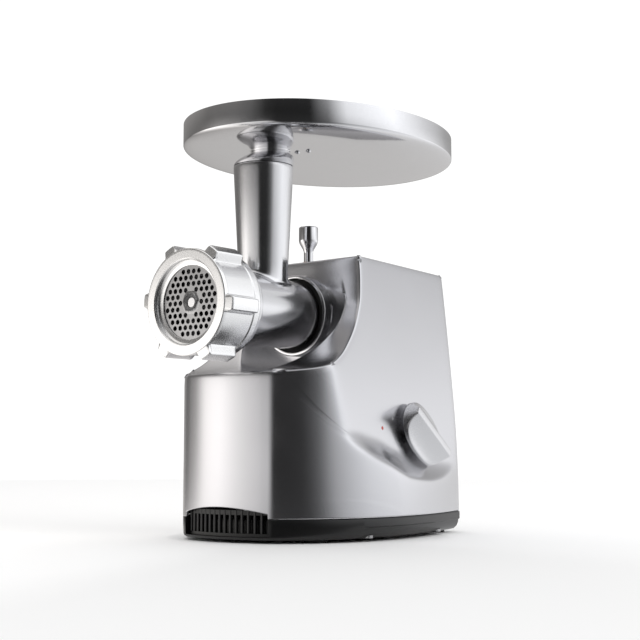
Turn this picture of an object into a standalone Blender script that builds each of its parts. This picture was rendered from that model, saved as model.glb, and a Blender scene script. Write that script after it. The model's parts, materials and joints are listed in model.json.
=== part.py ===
"""Electric meat grinder: motor base, gear train, lock pin, rotary switch and the
removable grinding head with its tray.  Units are metres, +Z is up, the outlet faces -Y
and the switch is on +X.  The origin is on the floor under the middle of the box."""

import math

import bpy
from mathutils import Matrix, Vector

MM = 0.001

# ---------------------------------------------------------------- clearances
GAP = 0.30 * MM          # faces that touch on the real machine
PRESS = 0.10 * MM        # pressed or keyed pieces
RUN = 0.25 * MM          # shafts that turn in a bore
SLIDE = 0.40 * MM        # pieces that lift or pull out

# ---------------------------------------------------------------- main axes
HEAD_Z = 185.2 * MM      # height of the feed-screw axis
NUT_FRONT_Y = -150.0 * MM
REAR_Y = 150.0 * MM      # rearmost point, the end of the cord inlet
FLOOR_GAP = 2.5 * MM     # underside of the base above the floor

# ---------------------------------------------------------------- housing
WALL = 2.5 * MM
TOP_Z = 232.6 * MM
SEAM_Z = 18.9 * MM       # lower edge of the metal housing
PANEL_HALF = 46.6 * MM   # front panel, half width
PANEL_CORNER_Y = -101.4 * MM
PANEL_SAG = 10.1 * MM
SIDE_MAX_X = 92.5 * MM   # widest point of the lower body
SIDE_MAX_Y = 0.0 * MM
REAR_CORNER = (66.0 * MM, 132.0 * MM)
REAR_WALL_Y = 146.5 * MM
REAR_DRAFT = 3.5 * MM
FACET_X = 61.0 * MM      # side facet at the front of the flat top
FACET_Y = -7.7 * MM
FACET_TAPER = 0.107
FACET_LEAN = 0.115
FACET_CURL = 22.5        # curl of the facet's foot, per metre, below this line of (y, z)
FACET_FOOT = [(-150.0, 89.0), (-56.0, 89.0), (-37.0, 88.0), (-6.0, 82.5), (22.0, 73.5),
              (63.0, 67.5), (84.0, 65.6), (170.0, 62.0)]
POCKET_R = 50.0 * MM     # round recess behind the barrel
POCKET_Y = -11.0 * MM
SCOOP = [(-8.6, 260.0), (-8.6, 232.6), (-9.7, 215.5), (-13.0, 197.2), (-16.8, 187.2),
         (-23.7, 174.2), (-33.6, 162.0), (-48.6, 148.2), (-67.5, 138.2), (-90.0, 133.8),
         (-112.0, 133.0), (-150.0, 133.0)]
ARCH_HALF = 44.0 * MM
ARCH_EDGE_Z = 22.5 * MM
ARCH_MID_Z = 27.5 * MM

# ---------------------------------------------------------------- base and feet
FLOOR_T = 3.0 * MM
BASE_EDGE = 3.0 * MM     # softened lower edge
FOOT_R = 9.0 * MM
FOOT_SINK = 1.8 * MM
FOOT_ROWS = [-62.0 * MM, 118.0 * MM]
FOOT_INSET = 22.0 * MM
SCREW_R = 1.9 * MM
SCREW_HEAD_R = 3.8 * MM
SCREW_HEAD_T = 2.2 * MM
SCREW_LENGTH = 32.0 * MM
BOSS_R = 5.5 * MM
BOSS_TOP_Z = 42.0 * MM
SCREW_ROWS = [-28.0 * MM, 84.0 * MM]
VENT_PITCH = 5.5 * MM
VENT_SLOT = 2.8 * MM
VENT_COUNT = 15
VENT_T = 2.4 * MM

# ---------------------------------------------------------------- outlet socket
SOCKET_WALL = 7.5 * MM   # round the spigot bore, at the front
SOCKET_FRONT_Y = -20.3 * MM
SOCKET_REAR_WALL = 4.1 * MM
SPIGOT_R = 26.5 * MM
SPIGOT_REAR_Y = 8.0 * MM
SOCKET_FLANGE_WIDE = 12.1 * MM
SOCKET_FLANGE_T = 3.2 * MM

# ---------------------------------------------------------------- lock pin
PIN_R = 4.05 * MM
PIN_HEAD_R = 8.3 * MM
PIN_TOP_Z = 263.6 * MM
PIN_HEAD_LENGTH = 11.8 * MM
PIN_TAPER = 11.0 * MM
PIN_TIP_Z = 208.5 * MM
PIN_COLLAR_STEP = 2.25 * MM
PIN_COLLAR_T = 1.7 * MM
BUSH_WALL = 1.15 * MM     # over the pin, running fit included
BUSH_FLANGE_WIDE = 1.85 * MM
BUSH_FLANGE_T = 2.0 * MM
SPRING_ROOM = 1.15 * MM   # middle of the wire from the pin
SPRING_WIRE = 0.5 * MM
SPRING_TURNS = 3.0

# ---------------------------------------------------------------- grinding head
BARREL_R = 28.7 * MM
BARREL_FRONT_R = 30.0 * MM
BARREL_REAR_Y = -21.6 * MM
BORE_R = 25.2 * MM
MOUTH_R = 35.9 * MM      # threaded front end, thread left plain
MOUTH_FRONT_Y = -139.2 * MM
FLANGE_R = 37.2 * MM
FLANGE_Y = (-106.0 * MM, -101.0 * MM)
TUBE_Y = -59.2 * MM
TUBE_TOP_Z = 306.0 * MM
TUBE_TOP_R = 24.9 * MM
TUBE_FOOT_R = 20.5 * MM
TUBE_WALL = 2.8 * MM
PLATE_R = 31.0 * MM
PLATE_T = 5.0 * MM
PLATE_FRONT_Y = -143.6 * MM
HOLE_R = 2.0 * MM
HOLE_PITCH = 5.6 * MM
HOLE_RING = (10.5 * MM, 26.5 * MM)
HUB_HOLE_R = 4.1 * MM
HEAD_REAR_WALL = (-6.0 * MM, 0.0 * MM)
SCREW_OD_R = 24.5 * MM
SCREW_CORE_R = 8.6 * MM
SCREW_TURNS = 3.25
JOURNAL_R = 8.0 * MM
DRIVE_SQUARE = 10.0 * MM
DRIVE_END_Y = 16.0 * MM
KNIFE_R = 28.0 * MM
KNIFE_T = 7.0 * MM
KNIFE_SQUARE = 9.5 * MM
NUT_R = 42.0 * MM
NUT_REAR_Y = -108.2 * MM
NUT_LUG_R = 48.5 * MM
NUT_LUG_ROUND = 7.5 * MM
NUT_LUGS = 6
NUT_MOUTH_R = 33.2 * MM
NUT_LIP_R = 29.0 * MM

# ---------------------------------------------------------------- tray
TRAY_HALF_X = 105.8 * MM
TRAY_HALF_Y = 132.7 * MM
TRAY_Y = 16.5 * MM
TRAY_TOP_Z = 347.5 * MM
TRAY_BAND_Z = 329.4 * MM
TRAY_FLOOR_Z = 322.0 * MM
TRAY_CURVE = 44.0 * MM
TRAY_T = 1.6 * MM
SPOUT_DEPTH = 18.0 * MM
SPOUT_T = 1.6 * MM
NECK_R = 19.6 * MM

# ---------------------------------------------------------------- gears
OUT_TEETH, PIN2_TEETH, MOD2 = 33, 12, 2.0 * MM
INT_TEETH, PIN1_TEETH, MOD1 = 55, 11, 1.25 * MM
OUT_FACE = (19.0 * MM, 33.0 * MM)
INT_FACE = (34.6 * MM, 43.0 * MM)
CASE_FRONT_Y = 12.5 * MM
CASE_WALL = 2.6 * MM
CASE_FRONT_T = 3.5 * MM
CASE_REAR_Y = 46.0 * MM
COVER_T = 4.0 * MM
OUT_SHAFT_R = 10.0 * MM
OUT_TAIL_R = 7.0 * MM
DRIVE_HUB_R = 13.0 * MM
AXLE_R = 4.0 * MM

# ---------------------------------------------------------------- motor
MOTOR_SHAFT_R = 4.0 * MM
MOTOR_HALF = 42.0 * MM
STATOR = (68.0 * MM, 106.0 * MM)
ROTOR_R = 24.0 * MM
AIR_GAP = 0.8 * MM
COMM = (111.0 * MM, 119.5 * MM)
COMM_R = 11.0 * MM
FAN = (55.5 * MM, 62.5 * MM)
FAN_R = 29.0 * MM
BRACKET = (121.0 * MM, 125.0 * MM)
BEARING_R = 9.0 * MM
BEARING_T = 6.0 * MM
BOLT_R = 2.2 * MM
BOLT_PLACE = 36.0 * MM

# ---------------------------------------------------------------- switch
KNOB_Y = 58.5 * MM
KNOB_Z = 85.0 * MM
KNOB_STANDOFF = 4.0 * MM
KNOB_HALF_LONG = 36.0 * MM
KNOB_HALF_WIDE = 24.0 * MM
KNOB_FLANGE = 3.4 * MM
KNOB_HEIGHT = 16.5 * MM
KNOB_RIDGE_HALF = 3.4 * MM
KNOB_SCOOP_R = 20.0 * MM
KNOB_ANGLE = -37.0       # degrees, rearwards and down
KNOB_SHANK_R = 5.5 * MM
KNOB_SHANK = 14.0 * MM
SWITCH_HALF = 14.0 * MM
SWITCH_DEPTH = 19.0 * MM
INLET_R = 8.0 * MM
INLET_HOLE_R = 3.6 * MM
INLET_Z = 38.0 * MM

# derived once, used by everything that has to line up
MID_Z = HEAD_Z - MOD2 * (OUT_TEETH + PIN2_TEETH) / 2
MOTOR_Z = MID_Z - MOD1 * (INT_TEETH + PIN1_TEETH) / 2
SOCKET_BORE_R = SPIGOT_R + SLIDE
SOCKET_R = SOCKET_BORE_R + SOCKET_WALL
SOCKET_REAR_R = SOCKET_BORE_R + SOCKET_REAR_WALL
SOCKET_FLANGE_R = SOCKET_BORE_R + SOCKET_FLANGE_WIDE
PIN_COLLAR_R = PIN_R + PIN_COLLAR_STEP
BUSH_R = PIN_R + BUSH_WALL
BUSH_FLANGE_R = PIN_R + BUSH_FLANGE_WIDE
SPRING_R = PIN_R + SPRING_ROOM
BASE_BOTTOM = FLOOR_GAP
BASE_FLOOR = FLOOR_GAP + FLOOR_T
PLATE_REAR_Y = PLATE_FRONT_Y + PLATE_T
KNIFE_FRONT_Y = PLATE_REAR_Y + GAP
KNIFE_REAR_Y = KNIFE_FRONT_Y + KNIFE_T
FLIGHT_FRONT_Y = KNIFE_REAR_Y + 2 * GAP
WASHER_T = 1.6 * MM
FLIGHT_REAR_Y = HEAD_REAR_WALL[0] - WASHER_T - 2 * GAP


# ================================================================ helpers
def clear_scene():
    for item in list(bpy.data.objects):
        bpy.data.objects.remove(item, do_unlink=True)
    for item in list(bpy.data.collections):
        bpy.data.collections.remove(item)


clear_scene()
PARTS = bpy.data.collections.new("meat_grinder")
CUTTERS = bpy.data.collections.new("construction")
for group in (PARTS, CUTTERS):
    bpy.context.scene.collection.children.link(group)


def material(name, colour, metallic, roughness):
    made = bpy.data.materials.new(name)
    made.use_nodes = True
    shader = made.node_tree.nodes["Principled BSDF"]
    shader.inputs["Base Color"].default_value = (*colour, 1.0)
    shader.inputs["Metallic"].default_value = metallic
    shader.inputs["Roughness"].default_value = roughness
    return made


BRUSHED = material("brushed_housing", (0.66, 0.66, 0.67), 1.0, 0.32)
CAST = material("polished_cast", (0.78, 0.78, 0.79), 1.0, 0.18)
POLISHED = material("polished_steel", (0.80, 0.80, 0.80), 1.0, 0.08)
CHROME = material("chrome", (0.85, 0.85, 0.86), 1.0, 0.05)
STEEL = material("tool_steel", (0.50, 0.50, 0.50), 1.0, 0.30)
BLACK = material("black_plastic", (0.012, 0.012, 0.013), 0.0, 0.42)
RUBBER = material("rubber", (0.02, 0.02, 0.02), 0.0, 0.75)
NYLON = material("nylon", (0.82, 0.80, 0.74), 0.0, 0.45)
BRONZE = material("bronze", (0.55, 0.36, 0.16), 1.0, 0.35)
COPPER = material("copper_wire", (0.70, 0.30, 0.12), 1.0, 0.35)
LAMINATE = material("laminated_iron", (0.22, 0.22, 0.24), 1.0, 0.45)
CASEMETAL = material("gearcase_alloy", (0.55, 0.56, 0.58), 1.0, 0.45)


def solid(name, points, faces, finish=None, frame=None):
    """A closed mesh; with a finish it is a part, without one it is a construction body."""
    mesh = bpy.data.meshes.new(name)
    mesh.from_pydata([tuple(p) for p in points], [], faces)
    mesh.validate()
    item = bpy.data.objects.new(name, mesh)
    if frame is not None:
        item.matrix_world = frame
    if finish is None:
        CUTTERS.objects.link(item)
        item.display_type = 'WIRE'
        item.hide_render = True
    else:
        PARTS.objects.link(item)
        mesh.materials.append(finish)
    return item


def turn_outwards(item):
    """Make the face directions agree and point out of the solid."""
    mesh = item.data
    volume = 0.0
    for face in mesh.polygons:
        corners = [mesh.vertices[i].co for i in face.vertices]
        for a, b in zip(corners[1:], corners[2:]):
            volume += corners[0].dot(a.cross(b))
    if volume < 0:
        mesh.flip_normals()
    return item


def prism(name, outline, low, high, axis='Y', finish=None, frame=None):
    """Extrude a closed 2-D outline.  Y: outline is (x, z); Z: (x, y); X: (y, z)."""
    place = {'X': lambda a, b, c: (c, a, b), 'Y': lambda a, b, c: (a, c, b),
             'Z': lambda a, b, c: (a, b, c)}[axis]
    count = len(outline)
    points = [place(a, b, h) for h in (low, high) for a, b in outline]
    faces = [tuple(range(count))[::-1], tuple(range(count, 2 * count))]
    faces += [(i, (i + 1) % count, count + (i + 1) % count, count + i) for i in range(count)]
    return turn_outwards(solid(name, points, faces, finish, frame))


def box(name, low, high, finish=None, frame=None):
    (x0, y0, z0), (x1, y1, z1) = low, high
    return prism(name, [(x0, y0), (x1, y0), (x1, y1), (x0, y1)], z0, z1, 'Z', finish, frame)


def circle(radius, count, cx=0.0, cy=0.0, phase=0.0):
    return [(cx + radius * math.cos(phase + math.tau * i / count),
             cy + radius * math.sin(phase + math.tau * i / count)) for i in range(count)]


def rod(name, radius, low, high, axis='Y', centre=(0.0, 0.0), count=24, finish=None, frame=None):
    return prism(name, circle(radius, count, *centre), low, high, axis, finish, frame)


def lathe(name, profile, axis='Y', centre=(0.0, 0.0), count=48, finish=None, frame=None, phase=0.0):
    """Turn a closed profile of (radius, height) about an axis; radius 0 closes on the axis.
    The phase, in steps, keeps the facets of crossing bodies from falling on each other."""
    place = {'Y': lambda r, h, a: (centre[0] + r * math.cos(a), h, centre[1] + r * math.sin(a)),
             'Z': lambda r, h, a: (centre[0] + r * math.cos(a), centre[1] + r * math.sin(a), h),
             'X': lambda r, h, a: (h, centre[0] + r * math.cos(a), centre[1] + r * math.sin(a)),
             }[axis]
    points, rings = [], []
    for radius, height in profile:
        steps = 1 if radius < 1e-7 else count
        rings.append([len(points) + i for i in range(steps)])
        points += [place(radius, height, math.tau * (i + phase) / count) for i in range(steps)]
    faces = []
    for one, two in zip(rings, rings[1:] + rings[:1]):
        if len(one) == 1 and len(two) == 1:
            continue
        for i in range(count):
            j = (i + 1) % count
            if len(one) == 1:
                faces.append((one[0], two[i], two[j]))
            elif len(two) == 1:
                faces.append((one[i], two[0], one[j]))
            else:
                faces.append((one[i], two[i], two[j], one[j]))
    return turn_outwards(solid(name, points, faces, finish, frame))


def loft(name, rings, finish=None, frame=None):
    """Join equal rings of 3-D points, with a flat face on each end."""
    count = len(rings[0])
    points = [p for ring in rings for p in ring]
    faces = [tuple(range(count))[::-1], tuple(range(len(points) - count, len(points)))]
    for k in range(len(rings) - 1):
        for i in range(count):
            j = (i + 1) % count
            faces.append((k * count + i, k * count + j, (k + 1) * count + j, (k + 1) * count + i))
    return turn_outwards(solid(name, points, faces, finish, frame))


def boolean(item, other, mode='DIFFERENCE'):
    step = item.modifiers.new(other.name, 'BOOLEAN')
    step.operation = mode
    step.solver = 'EXACT'
    step.object = other
    return item


def cut(item, *others):
    for other in others:
        boolean(item, other, 'DIFFERENCE')
    return item


def join(item, *others):
    for other in others:
        boolean(item, other, 'UNION')
    return item


def smooth(points, per):
    """Catmull-Rom points through the given ones."""
    result = []
    for i in range(len(points) - 1):
        a, b, c, d = (points[max(i - 1, 0)], points[i], points[i + 1],
                      points[min(i + 2, len(points) - 1)])
        for k in range(per):
            t = k / per
            result.append(tuple(
                0.5 * (2 * b[n] + (c[n] - a[n]) * t + (2 * a[n] - 5 * b[n] + 4 * c[n] - d[n]) * t * t
                       + (3 * b[n] - a[n] - 3 * c[n] + d[n]) * t ** 3) for n in range(2)))
    return result + [points[-1]]


def bezier(a, b, c, d, steps):
    out = []
    for k in range(steps):
        t = k / steps
        w = ((1 - t) ** 3, 3 * t * (1 - t) ** 2, 3 * t * t * (1 - t), t ** 3)
        out.append(tuple(sum(w[i] * p[n] for i, p in enumerate((a, b, c, d))) for n in range(2)))
    return out


def hull(circles, count=20):
    """Convex outline round circles given as (x, z, radius)."""
    dots = sorted({(round(x, 7), round(z, 7)) for cx, cz, r in circles
                   for x, z in circle(r, count, cx, cz)})

    def chain(items):
        kept = []
        for p in items:
            while len(kept) > 1 and ((kept[-1][0] - kept[-2][0]) * (p[1] - kept[-2][1])
                                     - (kept[-1][1] - kept[-2][1]) * (p[0] - kept[-2][0])) <= 1e-12:
                kept.pop()
            kept.append(p)
        return kept[:-1]
    return chain(dots) + chain(dots[::-1])


def inward(outline, distance):
    """Move every corner of a counter-clockwise outline inwards by a distance."""
    moved = []
    count = len(outline)
    for i in range(count):
        p, q, r = (Vector(outline[i - 1]), Vector(outline[i]), Vector(outline[(i + 1) % count]))
        one, two = (q - p).normalized(), (r - q).normalized()
        left = (Vector((-one.y, one.x)) + Vector((-two.y, two.x)))
        left /= max(left.length_squared / 2, 0.4)
        moved.append(tuple(q + left * distance))
    return moved


# ================================================================ housing shapes
def plan_outline(inset=0.0, draft=0.0):
    """Plan of the lower body: bowed front panel, swelling flanks, narrower rounded rear."""
    panel_r = (PANEL_HALF ** 2 + PANEL_SAG ** 2) / (2 * PANEL_SAG)
    front_y = PANEL_CORNER_Y - PANEL_SAG
    right = []
    for k in range(5):
        angle = math.asin(PANEL_HALF / panel_r) * k / 5
        right.append((panel_r * math.sin(angle), front_y + panel_r * (1 - math.cos(angle))))
    corner = (PANEL_HALF, PANEL_CORNER_Y)
    right += bezier(corner, (corner[0] + 23.5 * MM, corner[1] + 20.0 * MM),
                    (SIDE_MAX_X + 0.2 * MM, SIDE_MAX_Y - 58.0 * MM), (SIDE_MAX_X, SIDE_MAX_Y), 8)
    rear = (REAR_CORNER[0], REAR_CORNER[1] - draft)
    right += bezier((SIDE_MAX_X, SIDE_MAX_Y), (SIDE_MAX_X, SIDE_MAX_Y + 40.0 * MM),
                    (rear[0] + 11.0 * MM, rear[1] - 36.0 * MM), rear, 6)
    right += bezier(rear, (rear[0] - 3.4 * MM, rear[1] + 10.0 * MM),
                    (rear[0] - 22.0 * MM, REAR_WALL_Y - draft),
                    (0.0, REAR_WALL_Y - draft), 6)
    right.append((0.0, REAR_WALL_Y - draft))
    outline = right + [(-x, y) for x, y in right[-2:0:-1]]
    return inward(outline, inset) if inset else outline


def wall_x(y):
    """Half width of the lower body at a given y."""
    side = [p for p in plan_outline() if p[0] > 0]
    for (x0, y0), (x1, y1) in zip(side, side[1:]):
        if y0 <= y <= y1:
            return x0 + (x1 - x0) * (y - y0) / (y1 - y0)
    raise ValueError("no wall at that y")


def screw_spots():
    """Base screws stand just inside the wall, so that each boss grows out of it."""
    return [(wall_x(y) - WALL - BOSS_R + 1.6 * MM, y) for y in SCREW_ROWS]


def foot_spots():
    return [(wall_x(y) - FOOT_INSET, y) for y in FOOT_ROWS]


def foot_line(y):
    for (y0, z0), (y1, z1) in zip(FACET_FOOT, FACET_FOOT[1:]):
        if y / MM <= y1:
            return (z0 + (z1 - z0) * (y / MM - y0) / (y1 - y0)) * MM
    return FACET_FOOT[-1][1] * MM


def facet(y, z, inset):
    """Side facet: leans outwards going down, narrows to the rear, curls out at its foot."""
    curl = min(FACET_CURL * max(0.0, foot_line(y) - z) ** 2, 70.0 * MM)
    return FACET_X - FACET_TAPER * (y - FACET_Y) + FACET_LEAN * (TOP_Z - z) + curl - inset


def facet_cutter(side, inset):
    columns = [y * MM for y, _ in FACET_FOOT]
    steps = [0, 6, 12, 18, 25, 34, 48]
    levels = [[TOP_Z + 30 * MM] * len(columns), [TOP_Z - 80 * MM] * len(columns)]
    levels += [[foot_line(y) - d * MM for y in columns] for d in steps]
    levels.append([-12 * MM] * len(columns))
    near = [[(side * facet(y, z, inset), y, z) for y, z in zip(columns, row)] for row in levels]
    far = [[(side * 190 * MM, y, z) for y, z in zip(columns, row)] for row in levels]
    width, height = len(columns), len(levels)
    points = [p for grid in (near, far) for row in grid for p in row]
    half = width * height
    faces = []
    for r in range(height - 1):
        for c in range(width - 1):
            a = r * width + c
            quad = (a, a + 1, a + width + 1, a + width)
            faces += [quad, tuple(half + i for i in quad[::-1])]
    edge = ([c for c in range(width)] + [r * width + width - 1 for r in range(1, height)]
            + [(height - 1) * width + c for c in range(width - 2, -1, -1)]
            + [r * width for r in range(height - 2, 0, -1)])
    for a, b in zip(edge, edge[1:] + edge[:1]):
        faces.append((b, a, half + a, half + b))
    name = "facet_%s_%d" % ("right" if side > 0 else "left", round(inset / MM * 10))
    return turn_outwards(solid(name, points, faces))


def scoop_cutter(inset):
    line = smooth([(y * MM + inset, z * MM + (inset if z < 200 else 0.0)) for y, z in SCOOP[1:-1]], 2)
    line = [(SCOOP[0][0] * MM + inset, SCOOP[0][1] * MM)] + line
    line.append((SCOOP[-1][0] * MM, SCOOP[-1][1] * MM + inset))
    line.append((SCOOP[-1][0] * MM, SCOOP[0][1] * MM))
    return prism("scoop_%d" % round(inset / MM * 10), line, -150 * MM, 150 * MM, 'X')


def body_block(name, inset, bottom, top, finish=None):
    """The housing's outer form, or with an inset the space inside it."""
    rings = []
    for z, draft in ((bottom, 0.0), (top, REAR_DRAFT)):
        rings.append([(x, y, z) for x, y in plan_outline(inset, draft)])
    block = loft(name, rings, finish)
    pocket = rod("pocket_%d" % round(inset / MM * 10), POCKET_R + inset, -160 * MM,
                 POCKET_Y + inset, 'Y', (0.0, HEAD_Z), 40)
    return block, (facet_cutter(1, inset), facet_cutter(-1, inset), scoop_cutter(inset), pocket)


def facet_frame():
    """Frame of the switch: X out of the facet, Y rearwards, Z up, at the knob's centre."""
    x = facet(KNOB_Y, KNOB_Z, 0.0)
    out = Vector((1.0, FACET_TAPER, FACET_LEAN)).normalized()
    back = Vector((-FACET_TAPER, 1.0, 0.0)).normalized()
    up = out.cross(back)
    turn = Matrix((out, back, up)).transposed().to_4x4()
    return Matrix.Translation((x, KNOB_Y, KNOB_Z)) @ turn


SWITCH_FRAME = facet_frame()


def build_housing():
    shell, cutters = body_block("housing_shell", 0.0, SEAM_Z, TOP_Z, BRUSHED)
    cut(shell, *cutters)
    void, inner = body_block("housing_void", WALL, SEAM_Z - 30 * MM, TOP_Z - WALL)
    cut(void, *inner)
    cut(shell, void)
    for side in (-1, 1):
        for x, y in screw_spots():
            join(shell, rod("boss", BOSS_R, SEAM_Z, BOSS_TOP_Z, 'Z',
                            (side * x, y), 16))
            cut(shell, rod("boss_hole", SCREW_R + PRESS, SEAM_Z - 5 * MM, BOSS_TOP_Z - 3 * MM, 'Z',
                           (side * x, y), 12))
    cut(shell, rod("socket_hole", SOCKET_R + GAP, -60 * MM, 10 * MM, 'Y', (0.0, HEAD_Z), 40))
    cut(shell, rod("bush_hole", BUSH_R + GAP, TOP_Z - 6 * MM, TOP_Z + 6 * MM, 'Z', (0.0, 0.0), 20))
    cut(shell, rod("shank_hole", KNOB_SHANK_R + 2 * RUN, -8 * MM, 8 * MM, 'X', (0.0, 0.0), 24,
                   None, SWITCH_FRAME))
    cut(shell, rod("inlet_hole", INLET_R - 1.6 * MM, REAR_WALL_Y - 20 * MM, REAR_Y, 'Y',
                   (0.0, INLET_Z), 24))
    arch = [(-ARCH_HALF, SEAM_Z - 10 * MM)]
    for k in range(9):
        x = -ARCH_HALF + 2 * ARCH_HALF * k / 8
        arch.append((x, ARCH_MID_Z - (ARCH_MID_Z - ARCH_EDGE_Z) * (x / ARCH_HALF) ** 2))
    arch.append((ARCH_HALF, SEAM_Z - 10 * MM))
    cut(shell, prism("arch", arch, -140 * MM, -80 * MM, 'Y'))
    return shell


def build_base():
    rings = [[(x, y, BASE_BOTTOM) for x, y in plan_outline(BASE_EDGE)],
             [(x, y, BASE_BOTTOM + BASE_EDGE) for x, y in plan_outline(0.5 * MM)],
             [(x, y, SEAM_Z - GAP) for x, y in plan_outline(0.2 * MM)]]
    pan = loft("base_moulding", rings, BLACK)
    inside = loft("base_inside", [[(x, y, z) for x, y in plan_outline(WALL + 0.8 * MM)]
                                  for z in (BASE_FLOOR, SEAM_Z + 20 * MM)])
    cut(pan, inside)
    for side in (-1, 1):
        for x, y in screw_spots():
            spot = (side * x, y)
            join(pan, rod("pillar", BOSS_R, BASE_BOTTOM + 1 * MM, SEAM_Z - GAP, 'Z', spot, 16))
            cut(pan, rod("screw_way", SCREW_R + GAP, BASE_BOTTOM - 5 * MM, SEAM_Z + 10 * MM, 'Z', spot, 12))
            cut(pan, rod("screw_seat", SCREW_HEAD_R + GAP, BASE_BOTTOM - 5 * MM,
                         BASE_BOTTOM + SCREW_HEAD_T + GAP + 0.3 * MM, 'Z', spot, 16))
        for x, y in foot_spots():
            cut(pan, rod("foot_seat", FOOT_R + GAP, BASE_BOTTOM - 5 * MM, BASE_BOTTOM + FOOT_SINK, 'Z',
                         (side * x, y), 20))
    cut(pan, box("vent_way", (-ARCH_HALF, -140 * MM, BASE_BOTTOM + 2.2 * MM),
                 (ARCH_HALF, PANEL_CORNER_Y + 10 * MM, SEAM_Z + 20 * MM)))
    return pan


def build_grille():
    """Ribbed air grille that closes the arched opening under the front panel."""
    half = ARCH_HALF - GAP
    panel_r = (PANEL_HALF ** 2 + PANEL_SAG ** 2) / (2 * PANEL_SAG)
    middle_y = PANEL_CORNER_Y - PANEL_SAG + panel_r

    def arc(inset):
        r = panel_r - inset
        return [(x, middle_y - math.sqrt(r * r - x * x)) for x in (half * (k / 6 - 1) for k in range(13))]
    near = WALL + 1.0 * MM
    strip = arc(near) + arc(near + VENT_T)[::-1]
    grille = prism("vent_grille", strip, BASE_BOTTOM + 2.2 * MM + GAP, ARCH_MID_Z + 3 * MM, 'Z', BLACK)
    for k in range(VENT_COUNT):
        x = (k - (VENT_COUNT - 1) / 2) * VENT_PITCH
        cut(grille, box("slot", (x - VENT_SLOT / 2, -130 * MM, BASE_BOTTOM + 5.5 * MM),
                        (x + VENT_SLOT / 2, -80 * MM, ARCH_EDGE_Z - 2.0 * MM)))
    return grille


def build_feet_and_screws():
    for side, hand in ((-1, "left"), (1, "right")):
        for (x, y), where in zip(foot_spots(), ("front", "rear")):
            lathe("foot_%s_%s" % (where, hand),
                  [(0, 0), (FOOT_R - 1.5 * MM, 0), (FOOT_R, 1.2 * MM),
                   (FOOT_R, BASE_BOTTOM + FOOT_SINK - 0.1 * MM), (0, BASE_BOTTOM + FOOT_SINK - 0.1 * MM)],
                  'Z', (side * x, y), 14, RUBBER)
        for (x, y), where in zip(screw_spots(), ("front", "rear")):
            low = BASE_BOTTOM + 0.3 * MM
            lathe("base_screw_%s_%s" % (where, hand),
                  [(0, low), (SCREW_HEAD_R, low), (SCREW_HEAD_R, low + SCREW_HEAD_T),
                   (SCREW_R, low + SCREW_HEAD_T), (SCREW_R, low + SCREW_LENGTH), (0, low + SCREW_LENGTH)],
                  'Z', (side * x, y), 12, STEEL)


# ================================================================ socket and lock pin
def build_socket():
    inner = SCOOP[0][0] * MM + WALL + GAP
    socket = lathe("head_socket", [
        (SOCKET_BORE_R, SOCKET_FRONT_Y), (SOCKET_R - 1.5 * MM, SOCKET_FRONT_Y),
        (SOCKET_R, SOCKET_FRONT_Y + 1.5 * MM), (SOCKET_R, inner), (SOCKET_FLANGE_R, inner),
        (SOCKET_FLANGE_R, inner + SOCKET_FLANGE_T), (SOCKET_REAR_R, inner + SOCKET_FLANGE_T),
        (SOCKET_REAR_R, CASE_FRONT_Y - GAP), (SOCKET_BORE_R, CASE_FRONT_Y - GAP)],
        'Y', (0.0, HEAD_Z), 40, CAST)
    cut(socket, rod("pin_way", PIN_R + RUN, HEAD_Z, HEAD_Z + 60 * MM, 'Z', (0.0, 0.0), 20))
    cut(socket, rod("spring_way", PIN_COLLAR_R + GAP, HEAD_Z + SOCKET_REAR_R, HEAD_Z + 60 * MM, 'Z',
                    (0.0, 0.0), 24))
    return socket


def build_lock():
    bush_low = TOP_Z - WALL - GAP - BUSH_FLANGE_T
    lathe("pin_bush", [
        (PIN_R + RUN, bush_low), (BUSH_FLANGE_R, bush_low), (BUSH_FLANGE_R, bush_low + BUSH_FLANGE_T),
        (BUSH_R, bush_low + BUSH_FLANGE_T), (BUSH_R, TOP_Z + 0.2 * MM), (PIN_R + RUN, TOP_Z + 0.2 * MM)],
        'Z', (0.0, 0.0), 20, BRONZE)
    collar = HEAD_Z + SOCKET_REAR_R + 1.0 * MM
    head_low = PIN_TOP_Z - PIN_HEAD_LENGTH
    neck = []
    for k in range(6):
        t = k / 5
        neck.append((PIN_R + (PIN_HEAD_R - PIN_R) * (0.5 - 0.5 * math.cos(math.pi * t)),
                     head_low - PIN_TAPER * (1 - t)))
    lathe("lock_pin", [
        (0, PIN_TIP_Z), (PIN_R - 1 * MM, PIN_TIP_Z), (PIN_R, PIN_TIP_Z + 1 * MM), (PIN_R, collar),
        (PIN_COLLAR_R, collar), (PIN_COLLAR_R, collar + PIN_COLLAR_T), (PIN_R, collar + PIN_COLLAR_T)]
        + neck + [(PIN_HEAD_R, PIN_TOP_Z - 0.8 * MM), (PIN_HEAD_R - 0.8 * MM, PIN_TOP_Z), (0, PIN_TOP_Z)],
        'Z', (0.0, 0.0), 20, CHROME)
    low = collar + PIN_COLLAR_T + SPRING_WIRE + 0.2 * MM
    high = bush_low - SPRING_WIRE - 0.2 * MM
    steps = int(SPRING_TURNS * 10)
    rings = []
    for k in range(steps + 1):
        angle = math.tau * SPRING_TURNS * k / steps
        height = low + (high - low) * k / steps
        out = Vector((math.cos(angle), math.sin(angle), 0.0))
        rings.append([tuple(out * (SPRING_R + SPRING_WIRE * math.cos(a)) + Vector((0, 0, height
                      + SPRING_WIRE * math.sin(a)))) for a in (math.tau * n / 5 for n in range(5))])
    loft("lock_spring", rings, STEEL)


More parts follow.
